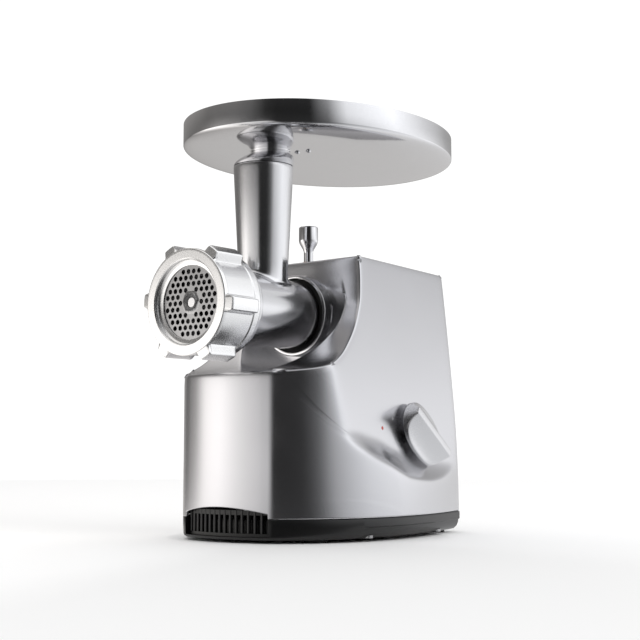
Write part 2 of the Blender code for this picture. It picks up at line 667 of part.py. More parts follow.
# ================================================================ gear train
def gear_outline(teeth, module, phase, centre_z, add=0.85, ded=1.15, backlash=0.09, flank=3):
    """Involute spur gear, 22 degree pressure angle, one tooth centred on the phase angle."""
    pressure = math.radians(22)
    pitch = module * teeth / 2
    base = pitch * math.cos(pressure)
    root, tip = pitch - ded * module, pitch + add * module
    low = max(base, root)

    def involute(radius):
        t = math.sqrt(max((radius / base) ** 2 - 1, 0.0))
        return t - math.atan(t)
    half = math.pi / (2 * teeth) - backlash * module / pitch / 2
    points = []
    for n in range(teeth):
        middle = phase + math.tau * n / teeth
        side = []
        for k in range(flank):
            radius = low + (tip - low) * k / (flank - 1)
            side.append((radius, half + involute(pitch) - involute(radius)))
        if root < low - 0.02 * module:
            side.insert(0, (root, side[0][1]))
        points += [(r, middle - a) for r, a in side] + [(r, middle + a) for r, a in side[::-1]]
    return [(r * math.cos(a), centre_z + r * math.sin(a)) for r, a in points]


def gear(name, teeth, module, face, centre_z, tooth_up, bore, finish, flank=2):
    half = math.pi / teeth
    phase = -math.pi / 2 if not tooth_up else math.pi / 2 + half
    outline = gear_outline(teeth, module, phase, centre_z, flank=flank)
    wheel = prism(name, outline, face[0], face[1], 'Y', finish)
    cut(wheel, rod(name + "_bore", bore, face[0] - 5 * MM, face[1] + 5 * MM, 'Y', (0.0, centre_z), 24))
    return wheel


def build_gears():
    gear("output_gear", OUT_TEETH, MOD2, OUT_FACE, HEAD_Z, False, OUT_SHAFT_R + PRESS, STEEL)
    gear("middle_pinion", PIN2_TEETH, MOD2, (OUT_FACE[0] - 0.5 * MM, INT_FACE[0] - GAP), MID_Z, True,
         AXLE_R + RUN, STEEL)
    gear("middle_gear", INT_TEETH, MOD1, INT_FACE, MID_Z, False, AXLE_R + RUN, NYLON)
    gear("motor_pinion", PIN1_TEETH, MOD1, (INT_FACE[0] - 0.4 * MM, INT_FACE[1] + 0.6 * MM), MOTOR_Z,
         True, MOTOR_SHAFT_R + PRESS, STEEL)
    shaft = lathe("output_shaft", [
        (0, SPIGOT_REAR_Y - 6.5 * MM), (DRIVE_HUB_R, SPIGOT_REAR_Y - 6.5 * MM),
        (DRIVE_HUB_R, CASE_FRONT_Y - 2 * GAP), (OUT_SHAFT_R, CASE_FRONT_Y - 2 * GAP),
        (OUT_SHAFT_R, INT_FACE[0] - 0.8 * MM), (OUT_TAIL_R, INT_FACE[0] - 0.8 * MM),
        (OUT_TAIL_R, CASE_REAR_Y + COVER_T + 1.2 * MM), (0, CASE_REAR_Y + COVER_T + 1.2 * MM)],
        'Y', (0.0, HEAD_Z), 24, STEEL)
    half = DRIVE_SQUARE / 2 + SLIDE
    cut(shaft, prism("drive_socket", [(x, HEAD_Z + z) for x, z in ((-half, -half), (half, -half),
                                                                    (half, half), (-half, half))],
                     -10 * MM, DRIVE_END_Y + 1.5 * MM, 'Y'))
    rod("middle_axle", AXLE_R, CASE_FRONT_Y + 0.5 * MM, CASE_REAR_Y + COVER_T + GAP - 0.5 * MM, 'Y',
        (0.0, MID_Z), 24, STEEL)
    out_tip = MOD2 * (OUT_TEETH / 2 + 0.85)
    mid_tip = MOD1 * (INT_TEETH / 2 + 0.85)
    rooms = ((0.0, HEAD_Z, out_tip + 1.8 * MM), (0.0, MID_Z, mid_tip + 1.8 * MM),
             (0.0, MOTOR_Z, BEARING_R + 6.0 * MM))
    outer = hull([(x, z, r + CASE_WALL) for x, z, r in rooms])
    case = prism("gear_case", outer, CASE_FRONT_Y, CASE_REAR_Y, 'Y', CASEMETAL)
    cut(case, prism("case_room", hull(rooms), CASE_FRONT_Y + CASE_FRONT_T, CASE_REAR_Y + 10 * MM, 'Y'))
    bush_r = OUT_SHAFT_R + RUN + 2.8 * MM
    cut(case, rod("front_bush_hole", bush_r + PRESS, -10 * MM, 30 * MM, 'Y', (0.0, HEAD_Z), 24))
    cut(case, rod("axle_hole", AXLE_R + PRESS, 0.0, 30 * MM, 'Y', (0.0, MID_Z), 24))
    lathe("output_bush_front", [(OUT_SHAFT_R + RUN, CASE_FRONT_Y), (bush_r, CASE_FRONT_Y),
                                (bush_r, OUT_FACE[0] - GAP), (OUT_SHAFT_R + RUN, OUT_FACE[0] - GAP)],
          'Y', (0.0, HEAD_Z), 24, BRONZE)
    cover_low = CASE_REAR_Y + GAP
    ears = [(side * BOLT_PLACE, MOTOR_Z, 6 * MM) for side in (-1, 1)]
    cover_outline = hull([(x, z, r + CASE_WALL) for x, z, r in rooms] + ears)
    cover = prism("gear_cover", cover_outline, cover_low, cover_low + COVER_T, 'Y', CASEMETAL)
    tail_bush = OUT_TAIL_R + RUN + 2.6 * MM
    cut(cover, rod("rear_bush_hole", tail_bush + PRESS, 30 * MM, 70 * MM, 'Y', (0.0, HEAD_Z), 24))
    cut(cover, rod("front_bearing_hole", BEARING_R + PRESS, 30 * MM, 70 * MM, 'Y', (0.0, MOTOR_Z), 22))
    for side in (-1, 1):
        cut(cover, rod("bolt_hole", BOLT_R + GAP, 30 * MM, 80 * MM, 'Y', (side * BOLT_PLACE, MOTOR_Z), 12))
    cut(cover, rod("axle_hole_rear", AXLE_R + 2 * PRESS, 30 * MM, 70 * MM, 'Y', (0.0, MID_Z), 18))
    lathe("output_bush_rear", [(OUT_TAIL_R + RUN, cover_low), (tail_bush, cover_low),
                               (tail_bush, cover_low + COVER_T), (OUT_TAIL_R + RUN, cover_low + COVER_T)],
          'Y', (0.0, HEAD_Z), 24, BRONZE)


# ================================================================ motor
def build_motor():
    spot = (0.0, MOTOR_Z)
    front_bearing = CASE_REAR_Y + GAP
    rear_bearing = BRACKET[0] - 1.0 * MM
    rod("motor_shaft", MOTOR_SHAFT_R, INT_FACE[0] - 2.5 * MM, rear_bearing + BEARING_T + 2 * MM, 'Y', spot,
        24, STEEL)
    for name, low in (("motor_bearing_front", front_bearing), ("motor_bearing_rear", rear_bearing)):
        lathe(name, [(MOTOR_SHAFT_R + RUN, low), (BEARING_R, low), (BEARING_R, low + BEARING_T),
                     (MOTOR_SHAFT_R + RUN, low + BEARING_T)], 'Y', spot, 20, STEEL)
    lathe("armature", [(MOTOR_SHAFT_R + PRESS, STATOR[0]), (ROTOR_R, STATOR[0]), (ROTOR_R, STATOR[1]),
                       (MOTOR_SHAFT_R + PRESS, STATOR[1])], 'Y', spot, 24, LAMINATE)
    lathe("commutator", [(MOTOR_SHAFT_R + PRESS, COMM[0]), (COMM_R, COMM[0]), (COMM_R, COMM[1]),
                         (MOTOR_SHAFT_R + PRESS, COMM[1])], 'Y', spot, 24, COPPER)
    fan = lathe("cooling_fan", [(MOTOR_SHAFT_R + PRESS, FAN[0]), (FAN_R, FAN[0]), (FAN_R, FAN[0] + 1.4 * MM),
                                (9 * MM, FAN[0] + 1.4 * MM), (9 * MM, FAN[1]),
                                (MOTOR_SHAFT_R + PRESS, FAN[1])], 'Y', spot, 20, BLACK)
    for k in range(8):
        blade = Matrix.Translation((0, 0, MOTOR_Z)) @ Matrix.Rotation(math.tau * k / 8, 4, 'Y')
        join(fan, box("fan_blade", (8 * MM, FAN[0] + 0.6 * MM, -0.7 * MM), (FAN_R - 1 * MM, FAN[1], 0.7 * MM),
                      None, blade))
    half = MOTOR_HALF
    chamfer = 9 * MM
    ring = [(half - chamfer, half), (-half + chamfer, half), (-half, half - chamfer),
            (-half, -half + chamfer), (-half + chamfer, -half), (half - chamfer, -half),
            (half, -half + chamfer), (half, half - chamfer)]
    stator = prism("stator_core", [(x, MOTOR_Z + z) for x, z in ring], STATOR[0], STATOR[1], 'Y', LAMINATE)
    cut(stator, rod("stator_bore", ROTOR_R + AIR_GAP, 0.0, 150 * MM, 'Y', spot, 24))
    coil_in, coil_out, coil_half = 26.5 * MM, 33.2 * MM, 15.0 * MM
    for side, hand in ((-1, "left"), (1, "right")):
        x0, x1 = sorted((side * (coil_in - 6 * MM), side * (coil_out + GAP)))
        cut(stator, box("coil_window", (x0, 0, MOTOR_Z - coil_half - GAP), (x1, 150 * MM, MOTOR_Z + coil_half + GAP)))
        x0, x1 = sorted((side * coil_in, side * coil_out))
        box("field_coil_" + hand, (x0, STATOR[0] - 4 * MM, MOTOR_Z - coil_half),
            (x1, STATOR[1] + 4 * MM, MOTOR_Z + coil_half), COPPER)
        cut(stator, rod("bolt_way", BOLT_R + GAP, 0.0, 150 * MM, 'Y', (side * BOLT_PLACE, MOTOR_Z), 12))
        reach = BRACKET[1] + 2.5 * MM
        rod("motor_bolt_" + hand, BOLT_R, CASE_REAR_Y + GAP + 0.5 * MM, reach, 'Y',
            (side * BOLT_PLACE, MOTOR_Z), 12, STEEL)
        x0, x1 = sorted((side * (COMM_R + 0.6 * MM), side * (COMM_R + 13 * MM)))
        box("brush_holder_" + hand, (x0, COMM[0] + 0.8 * MM, MOTOR_Z - 4 * MM),
            (x1, BRACKET[0] - GAP, MOTOR_Z + 4 * MM), BRONZE)
    bracket = prism("motor_bracket", hull([(0.0, MOTOR_Z, 26 * MM), (-BOLT_PLACE, MOTOR_Z, 6 * MM),
                                           (BOLT_PLACE, MOTOR_Z, 6 * MM), (-22 * MM, BASE_FLOOR + 6 * MM, 3 * MM),
                                           (22 * MM, BASE_FLOOR + 6 * MM, 3 * MM)], 16),
                    BRACKET[0], BRACKET[1], 'Y', CASEMETAL)
    cut(bracket, rod("rear_bearing_hole", BEARING_R + PRESS, 100 * MM, 150 * MM, 'Y', spot, 20))
    for side in (-1, 1):
        cut(bracket, rod("bracket_bolt", BOLT_R + GAP, 100 * MM, 150 * MM, 'Y', (side * BOLT_PLACE, MOTOR_Z), 12))
    box("motor_pad", (-24 * MM, BRACKET[0] - 5 * MM, BASE_FLOOR + GAP),
        (24 * MM, BRACKET[1] + 5 * MM, BASE_FLOOR + 3 * MM - GAP), RUBBER)


# ================================================================ switch and cord inlet
def build_switch():
    frame = SWITCH_FRAME
    low = KNOB_STANDOFF
    top = low + KNOB_HEIGHT
    angle = math.radians(KNOB_ANGLE)
    along, across = (math.cos(angle), math.sin(angle)), (-math.sin(angle), math.cos(angle))
    plan = []
    for k in range(40):
        a = math.tau * k / 40
        p, q = KNOB_HALF_LONG * math.cos(a), KNOB_HALF_WIDE * math.sin(a)
        plan.append((p * along[0] + q * across[0], p * along[1] + q * across[1]))
    knob = prism("switch_knob", plan, low, top, 'X', CHROME, frame)
    floor = low + KNOB_FLANGE
    centre_x = floor + KNOB_SCOOP_R
    drop = centre_x - top
    offset = KNOB_RIDGE_HALF + math.sqrt(KNOB_SCOOP_R ** 2 - drop ** 2)
    for side in (-1, 1):
        scoop = []
        for k in range(17):
            a = -math.pi / 2 - side * math.radians(75) * (1 - k / 16) * 1.0
            scoop.append((side * offset + KNOB_SCOOP_R * math.cos(a), centre_x + KNOB_SCOOP_R * math.sin(a)))
        inner_q, inner_x = scoop[0]
        scoop = [(inner_q, top + 8 * MM)] + scoop + [(side * 60 * MM, floor), (side * 60 * MM, top + 8 * MM)]
        points = [(x, p * along[0] + q * across[0], p * along[1] + q * across[1])
                  for p in (-60 * MM, 60 * MM) for q, x in scoop]
        count = len(scoop)
        faces = [tuple(range(count))[::-1], tuple(range(count, 2 * count))]
        faces += [(i, (i + 1) % count, count + (i + 1) % count, count + i) for i in range(count)]
        cut(knob, turn_outwards(solid("finger_scoop", points, faces, None, frame)))
    join(knob, rod("knob_shank", KNOB_SHANK_R, -KNOB_SHANK, low + 2 * MM, 'X', (0.0, 0.0), 24, None, frame))
    near = -WALL - 2.0 * MM
    case = box("switch_case", (near - SWITCH_DEPTH, -SWITCH_HALF, -SWITCH_HALF),
               (near, SWITCH_HALF, SWITCH_HALF), BLACK, frame)
    cut(case, rod("switch_bore", KNOB_SHANK_R + RUN, -KNOB_SHANK - 1 * MM, 10 * MM, 'X', (0.0, 0.0), 24,
                  None, frame))
    inner = REAR_WALL_Y - 9 * MM
    lathe("cord_inlet", [
        (INLET_HOLE_R, inner), (INLET_R - 2.0 * MM, inner), (INLET_R - 2.0 * MM, REAR_WALL_Y + 0.4 * MM),
        (INLET_R, REAR_WALL_Y + 0.4 * MM), (INLET_R, REAR_Y - 1 * MM), (INLET_R - 1 * MM, REAR_Y),
        (INLET_HOLE_R, REAR_Y)], 'Y', (0.0, INLET_Z), 18, RUBBER)


# ================================================================ grinding head
def build_head():
    outer = [(0, MOUTH_FRONT_Y), (MOUTH_R - 1 * MM, MOUTH_FRONT_Y), (MOUTH_R, MOUTH_FRONT_Y + 1 * MM),
             (MOUTH_R, FLANGE_Y[0]), (FLANGE_R, FLANGE_Y[0]), (FLANGE_R, FLANGE_Y[1])]
    for k in range(4):
        t = k / 3
        outer.append((BARREL_FRONT_R + (FLANGE_R - 1.5 * MM - BARREL_FRONT_R) * (1 - math.sin(t * math.pi / 2)),
                      FLANGE_Y[1] + 9 * MM * (1 - math.cos(t * math.pi / 2))))
    outer += [(BARREL_R, BARREL_REAR_Y - 30 * MM), (BARREL_R, BARREL_REAR_Y), (SPIGOT_R, BARREL_REAR_Y),
              (SPIGOT_R, SPIGOT_REAR_Y), (0, SPIGOT_REAR_Y)]
    head = lathe("head_body", outer, 'Y', (0.0, HEAD_Z), 40, CAST)
    foot_z = HEAD_Z + BARREL_R - 6 * MM
    tube = lathe("tube_outside", [
        (0, HEAD_Z), (TUBE_FOOT_R, HEAD_Z), (TUBE_FOOT_R, foot_z + 6 * MM), (TUBE_TOP_R, TUBE_TOP_Z - 1 * MM),
        (TUBE_TOP_R - 0.6 * MM, TUBE_TOP_Z), (0, TUBE_TOP_Z)], 'Z', (0.0, TUBE_Y), 32, phase=0.5)
    join(head, tube)
    spout_r = TUBE_TOP_R - TUBE_WALL
    cut(head, lathe("tube_inside", [
        (0, HEAD_Z), (TUBE_FOOT_R - TUBE_WALL, HEAD_Z), (TUBE_FOOT_R - TUBE_WALL, foot_z),
        (spout_r - 0.6 * MM, TUBE_TOP_Z - SPOUT_DEPTH - 3 * MM), (spout_r, TUBE_TOP_Z - SPOUT_DEPTH - 2 * MM),
        (spout_r, TUBE_TOP_Z + 5 * MM), (0, TUBE_TOP_Z + 5 * MM)], 'Z', (0.0, TUBE_Y), 28, phase=0.5))
    seat_y = KNIFE_REAR_Y + 1.5 * MM
    bush_r = JOURNAL_R + RUN + 2.2 * MM
    skirt_r = DRIVE_HUB_R + 7 * MM
    cut(head, lathe("barrel_bore", [
        (0, MOUTH_FRONT_Y - 5 * MM), (PLATE_R + SLIDE, MOUTH_FRONT_Y - 5 * MM), (PLATE_R + SLIDE, seat_y),
        (BORE_R, seat_y), (BORE_R, HEAD_REAR_WALL[0]), (bush_r + PRESS, HEAD_REAR_WALL[0]),
        (bush_r + PRESS, HEAD_REAR_WALL[1]), (skirt_r, HEAD_REAR_WALL[1]), (skirt_r, SPIGOT_REAR_Y + 5 * MM),
        (0, SPIGOT_REAR_Y + 5 * MM)], 'Y', (0.0, HEAD_Z), 40))
    slot_low = PIN_TIP_Z - 1.0 * MM
    cut(head, box("pin_slot", (-PIN_R - 0.6 * MM, -PIN_R - 0.6 * MM, slot_low),
                  (PIN_R + 0.6 * MM, 20 * MM, HEAD_Z + 40 * MM)))
    lathe("screw_bush", [
        (JOURNAL_R + RUN, HEAD_REAR_WALL[0] - GAP - WASHER_T), (bush_r + 4 * MM, HEAD_REAR_WALL[0] - GAP - WASHER_T),
        (bush_r + 4 * MM, HEAD_REAR_WALL[0] - GAP), (bush_r, HEAD_REAR_WALL[0] - GAP),
        (bush_r, HEAD_REAR_WALL[1]), (JOURNAL_R + RUN, HEAD_REAR_WALL[1])], 'Y', (0.0, HEAD_Z), 24, NYLON)


def ring_at(y, radii, twist=0.0):
    count = len(radii)
    return [(r * math.cos(twist + math.tau * i / count), y, HEAD_Z + r * math.sin(twist + math.tau * i / count))
            for i, r in enumerate(radii)]


def build_screw():
    """Feed screw: one helical flight, square drive shank behind, square and pin in front."""
    count = 16
    round_r = [1.0] * count
    square = [1.0 / max(abs(math.cos(math.tau * i / count)), abs(math.sin(math.tau * i / count)))
              for i in range(count)]
    flight = [SCREW_OD_R, SCREW_OD_R, SCREW_CORE_R * 1.04] + [SCREW_CORE_R] * (count - 5) \
        + [SCREW_CORE_R * 1.04, SCREW_OD_R]
    pin_end = PLATE_FRONT_Y + 0.5 * MM
    rings = [ring_at(pin_end, [HUB_HOLE_R - RUN - 0.1 * MM] * count),
             ring_at(KNIFE_FRONT_Y + 0.2 * MM, [HUB_HOLE_R - RUN - 0.1 * MM] * count),
             ring_at(KNIFE_FRONT_Y + 0.2 * MM, [KNIFE_SQUARE / 2 * s for s in square]),
             ring_at(FLIGHT_FRONT_Y - GAP, [KNIFE_SQUARE / 2 * s for s in square]),
             ring_at(FLIGHT_FRONT_Y - GAP, [SCREW_CORE_R * r for r in round_r])]
    steps = int(SCREW_TURNS * 10)
    for k in range(steps + 1):
        y = FLIGHT_FRONT_Y + (FLIGHT_REAR_Y - FLIGHT_FRONT_Y) * k / steps
        rings.append(ring_at(y, flight, math.tau * SCREW_TURNS * k / steps))
    rings += [ring_at(FLIGHT_REAR_Y, [JOURNAL_R * r for r in round_r], math.tau * SCREW_TURNS)]
    shift = int(round((SCREW_TURNS % 1) * count))

    def turned(values):
        return [values[(i + shift) % count] for i in range(count)]
    rings += [ring_at(HEAD_REAR_WALL[1] + 1.5 * MM, [JOURNAL_R * r for r in round_r], math.tau * SCREW_TURNS),
              ring_at(HEAD_REAR_WALL[1] + 1.5 * MM, [DRIVE_SQUARE / 2 * s for s in turned(square)],
                      math.tau * SCREW_TURNS),
              ring_at(DRIVE_END_Y, [DRIVE_SQUARE / 2 * s for s in turned(square)], math.tau * SCREW_TURNS)]
    loft("feed_screw", rings, CAST)


def build_cutting_set():
    half = 4.2 * MM
    outline = []
    for k in range(4):
        turn = math.pi / 2 * k
        for x, z in ((KNIFE_R, -half * 0.75), (KNIFE_R, half), (11 * MM, half * 1.4), (8.6 * MM, 8.6 * MM)):
            outline.append((x * math.cos(turn) - z * math.sin(turn),
                            HEAD_Z + x * math.sin(turn) + z * math.cos(turn)))
    knife = prism("cutting_knife", outline, KNIFE_FRONT_Y, KNIFE_REAR_Y, 'Y', STEEL)
    side = KNIFE_SQUARE / 2 + PRESS
    cut(knife, prism("knife_square", [(x, HEAD_Z + z) for x, z in ((-side, -side), (side, -side), (side, side),
                                                                    (-side, side))], -160 * MM, -100 * MM, 'Y'))
    plate = rod("screen_plate", PLATE_R, PLATE_FRONT_Y, PLATE_REAR_Y, 'Y', (0.0, HEAD_Z), 48, STEEL)
    cut(plate, rod("hub_hole", HUB_HOLE_R, -160 * MM, -100 * MM, 'Y', (0.0, HEAD_Z), 16))
    row_step = HOLE_PITCH * math.sqrt(3) / 2
    points, faces = [], []
    reach = int(HOLE_RING[1] / row_step) + 1
    for row in range(-reach, reach + 1):
        for col in range(-reach - 2, reach + 3):
            x = (col + (row % 2) / 2) * HOLE_PITCH
            z = row * row_step
            if HOLE_RING[0] < math.hypot(x, z) < HOLE_RING[1]:
                start = len(points)
                dots = circle(HOLE_R, 6, x, HEAD_Z + z)
                points += [(a, y, b) for y in (PLATE_FRONT_Y - 1 * MM, PLATE_REAR_Y + 1 * MM) for a, b in dots]
                faces += [tuple(start + i for i in range(6)), tuple(start + 11 - i for i in range(6))]
                faces += [(start + i, start + 6 + i, start + 6 + (i + 1) % 6, start + (i + 1) % 6)
                          for i in range(6)]
    cut(plate, turn_outwards(solid("screen_holes", points, faces)))


def build_nut():
    nut = lathe("ring_nut", [
        (0, NUT_FRONT_Y), (NUT_R - 3 * MM, NUT_FRONT_Y), (NUT_R - 0.8 * MM, NUT_FRONT_Y + 0.8 * MM),
        (NUT_R, NUT_FRONT_Y + 3 * MM), (NUT_R, NUT_REAR_Y - 1.5 * MM), (NUT_R - 1.5 * MM, NUT_REAR_Y),
        (0, NUT_REAR_Y)], 'Y', (0.0, HEAD_Z), 48, CAST)
    ring = NUT_LUG_R - NUT_LUG_ROUND
    for k in range(NUT_LUGS):
        a = math.radians(55) + math.tau * k / NUT_LUGS
        spot = (ring * math.cos(a), HEAD_Z + ring * math.sin(a))
        join(nut, lathe("lug", [(0, NUT_FRONT_Y + 1.2 * MM), (NUT_LUG_ROUND - 2 * MM, NUT_FRONT_Y + 1.2 * MM),
                                (NUT_LUG_ROUND, NUT_FRONT_Y + 3.5 * MM), (NUT_LUG_ROUND, NUT_REAR_Y - 4 * MM),
                                (NUT_LUG_ROUND - 2 * MM, NUT_REAR_Y - 1.6 * MM), (0, NUT_REAR_Y - 1.6 * MM)],
                        'Y', spot, 10))
    lip_y = PLATE_FRONT_Y - GAP
    thread_r = MOUTH_R + GAP
    cut(nut, lathe("nut_inside", [
        (0, NUT_FRONT_Y - 2 * MM), (NUT_MOUTH_R + 1.2 * MM, NUT_FRONT_Y - 2 * MM), (NUT_MOUTH_R, NUT_FRONT_Y + 0.4 * MM),
        (NUT_LIP_R, lip_y - 1.2 * MM), (NUT_LIP_R, lip_y), (thread_r, lip_y), (thread_r, NUT_REAR_Y + 5 * MM),
        (0, NUT_REAR_Y + 5 * MM)], 'Y', (0.0, HEAD_Z), 48))


def build_tray():
    count = 56

    def oval(inset, z):
        return [((TRAY_HALF_X - inset) * math.cos(math.tau * i / count),
                 TRAY_Y + (TRAY_HALF_Y - inset) * math.sin(math.tau * i / count), z) for i in range(count)]
    curve = [(TRAY_CURVE * (1 - math.cos(s)), TRAY_BAND_Z - (TRAY_BAND_Z - TRAY_FLOOR_Z) * math.sin(s))
             for s in (math.pi / 2 * k / 3 for k in range(4))]
    rings = [oval(i, z) for i, z in curve[::-1]]
    rings += [oval(0.0, TRAY_TOP_Z), oval(TRAY_T, TRAY_TOP_Z)]
    rings += [oval(i + TRAY_T, z + TRAY_T) for i, z in curve]
    tray = loft("food_tray", rings, POLISHED)
    spout_r = TUBE_TOP_R - TUBE_WALL - SLIDE
    bore_r = spout_r - SPOUT_T
    seat = TUBE_TOP_Z + GAP
    shoulder = [(TUBE_TOP_R, seat), (TUBE_TOP_R - 0.5 * MM, seat + 3.5 * MM), (NECK_R + 2.6 * MM, seat + 8.0 * MM),
                (NECK_R + 0.8 * MM, seat + 10.5 * MM), (NECK_R + 0.6 * MM, seat + 12.5 * MM),
                (NECK_R + 2.4 * MM, seat + 14.6 * MM), (NECK_R + 6.0 * MM, TRAY_FLOOR_Z + 0.4 * MM)]
    join(tray, lathe("neck_outside", [(0, seat - SPOUT_DEPTH), (spout_r, seat - SPOUT_DEPTH), (spout_r, seat)]
                     + shoulder + [(0, TRAY_FLOOR_Z + 0.4 * MM)], 'Z', (0.0, TUBE_Y), 32))
    inner = min(bore_r, NECK_R - 1.2 * MM)
    cut(tray, lathe("neck_inside", [(0, seat - SPOUT_DEPTH - 5 * MM), (bore_r, seat - SPOUT_DEPTH - 5 * MM),
                                    (bore_r, seat + 4 * MM), (inner, seat + 9 * MM), (inner, seat + 12 * MM),
                                    (inner + 4 * MM, TRAY_FLOOR_Z + TRAY_T), (inner + 4 * MM, TRAY_FLOOR_Z + 12 * MM),
                                    (0, TRAY_FLOOR_Z + 12 * MM)], 'Z', (0.0, TUBE_Y), 28, phase=0.5))


build_housing()
build_base()
build_grille()
build_feet_and_screws()
build_socket()
build_lock()
build_gears()
build_motor()
build_switch()
build_head()
build_screw()
build_cutting_set()
build_nut()
build_tray()
print("parts:", len(PARTS.objects))
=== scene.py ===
# Looks for a countertop electric meat grinder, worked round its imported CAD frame.
# Every size is in millimetres until a mesh is made; +Z is up, the outlet faces -Y, the switch faces +X.
import json
import math

import bmesh
import bpy
import numpy as np
from mathutils.geometry import delaunay_2d_cdt
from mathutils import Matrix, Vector

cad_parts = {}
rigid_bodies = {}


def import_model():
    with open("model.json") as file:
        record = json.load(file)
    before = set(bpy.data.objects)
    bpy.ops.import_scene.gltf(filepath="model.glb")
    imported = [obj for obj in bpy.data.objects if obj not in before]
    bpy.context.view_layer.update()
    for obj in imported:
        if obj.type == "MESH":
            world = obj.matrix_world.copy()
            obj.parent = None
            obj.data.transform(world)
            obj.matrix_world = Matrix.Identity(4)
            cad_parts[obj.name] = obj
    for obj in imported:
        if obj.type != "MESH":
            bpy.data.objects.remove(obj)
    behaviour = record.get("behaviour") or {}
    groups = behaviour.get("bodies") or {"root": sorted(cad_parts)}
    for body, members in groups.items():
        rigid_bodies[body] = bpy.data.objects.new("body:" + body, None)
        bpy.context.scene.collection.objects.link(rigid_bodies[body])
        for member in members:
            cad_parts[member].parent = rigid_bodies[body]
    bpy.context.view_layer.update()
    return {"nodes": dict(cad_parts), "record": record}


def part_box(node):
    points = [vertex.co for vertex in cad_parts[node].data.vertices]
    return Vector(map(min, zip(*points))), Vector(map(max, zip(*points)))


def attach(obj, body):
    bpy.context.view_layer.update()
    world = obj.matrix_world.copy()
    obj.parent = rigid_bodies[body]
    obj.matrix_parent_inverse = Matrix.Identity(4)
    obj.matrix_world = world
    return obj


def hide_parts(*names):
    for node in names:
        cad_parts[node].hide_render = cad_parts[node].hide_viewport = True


mm = 0.001
for startItem in list(bpy.data.objects):
    bpy.data.objects.remove(startItem, do_unlink=True)
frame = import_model()


def nodeBox(name):  # a CAD node's low and high corner in millimetres
    low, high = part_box(name)
    return np.array(low) / mm, np.array(high) / mm


def linear(hexColour):  # sRGB hex to linear RGBA
    parts = [int(hexColour[i:i + 2], 16) / 255 for i in (1, 3, 5)]
    return [p / 12.92 if p <= 0.04045 else ((p + 0.055) / 1.055) ** 2.4 for p in parts] + [1.0]


def addNode(tree, kind, settings=None, links=None):
    node = tree.nodes.new(kind)
    for key, value in (settings or {}).items():
        if isinstance(key, int) or key in node.inputs:
            node.inputs[key].default_value = value
        else:
            setattr(node, key, value)
    for key, source in (links or {}).items():
        tree.links.new(source, node.inputs[key])
    return node


def fillet(corners, steps=6):
    # open profile of (a, b, radius): each corner becomes an arc of that radius, tangent to both sides
    out = [np.array(corners[0][:2], float)[None]]
    for i in range(1, len(corners) - 1):
        p, q, r = (np.array(corners[k][:2], float) for k in (i - 1, i, i + 1))
        radius = corners[i][2] if len(corners[i]) > 2 else 0.0
        one, two = p - q, r - q
        sizeOne, sizeTwo = np.hypot(*one), np.hypot(*two)
        one, two = one / sizeOne, two / sizeTwo
        half = math.acos(np.clip(one @ two, -1, 1)) / 2
        if radius <= 0 or half > 1.55 or half < 0.02:
            out.append(q[None])
            continue
        back = min(radius / math.tan(half), 0.48 * sizeOne, 0.48 * sizeTwo)
        radius = back * math.tan(half)
        middle = (one + two) / np.hypot(*(one + two))
        centre = q + middle * radius / math.sin(half)
        turn = (math.pi / 2 - half) * np.linspace(-1, 1, steps)[:, None]
        side = np.array([-middle[1], middle[0]])
        if side @ (one - two) < 0:
            side = -side
        out.append(centre - middle * radius * np.cos(turn) - side * radius * np.sin(turn))
    out.append(np.array(corners[-1][:2], float)[None])
    return np.concatenate(out)


def curve(points, count):  # Catmull-Rom line through the points, evenly spaced along its length
    pts = np.array(points, float)
    ends = np.vstack([2 * pts[0] - pts[1], pts, 2 * pts[-1] - pts[-2]])
    t = np.linspace(0, 1, 24, endpoint=False)[:, None]
    runs = []
    for a, b, c, d in zip(ends, ends[1:], ends[2:], ends[3:]):
        runs.append(0.5 * (2 * b + (c - a) * t + (2 * a - 5 * b + 4 * c - d) * t ** 2
                           + (3 * b - a - 3 * c + d) * t ** 3))
    line = np.vstack(runs + [pts[-1:]])
    length = np.r_[0, np.cumsum(np.hypot(*np.diff(line, axis=0).T))]
    at = np.linspace(0, length[-1], count)
    return np.stack([np.interp(at, length, line[:, k]) for k in range(line.shape[1])], -1)


def bezier(a, b, c, d, count=60):
    t = np.linspace(0, 1, count)[:, None]
    return sum(w * np.array(p, float) for w, p in zip(
        ((1 - t) ** 3, 3 * t * (1 - t) ** 2, 3 * t * t * (1 - t), t ** 3), (a, b, c, d)))


def turned(profile, axis, centre, count=128, start=0.0):
    # surface of revolution: a point of the profile (radius, height) at angle a lies at
    # centre + radius * (cos a, sin a) across the axis, height along it; grid of profile by angle
    a = start + math.tau * np.arange(count) / count
    r, h = profile[:, :1], profile[:, 1:] + 0 * a
    u, v = centre[0] + r * np.cos(a), centre[1] + r * np.sin(a)
    return np.stack([u, v, h] if axis == "Z" else [u, h, v], -1)


def smoothMax(a, b, k):  # larger of the two, with the meeting edge rounded to about k
    return 0.5 * (a + b + np.sqrt((a - b) ** 2 + k * k))


def settle(points, field, rounds=6):
    # Newton steps along the gradient bring every point onto the surface field = 0
    p = points.copy()
    for _ in range(rounds):
        value = field(p)
        grad = np.stack([(field(p + e) - field(p - e)) / 0.02 for e in 0.01 * np.eye(3)], -1)
        size = np.maximum((grad ** 2).sum(-1), 0.05)
        p -= (np.clip(value, -2.5, 2.5) / size)[..., None] * grad
    return p


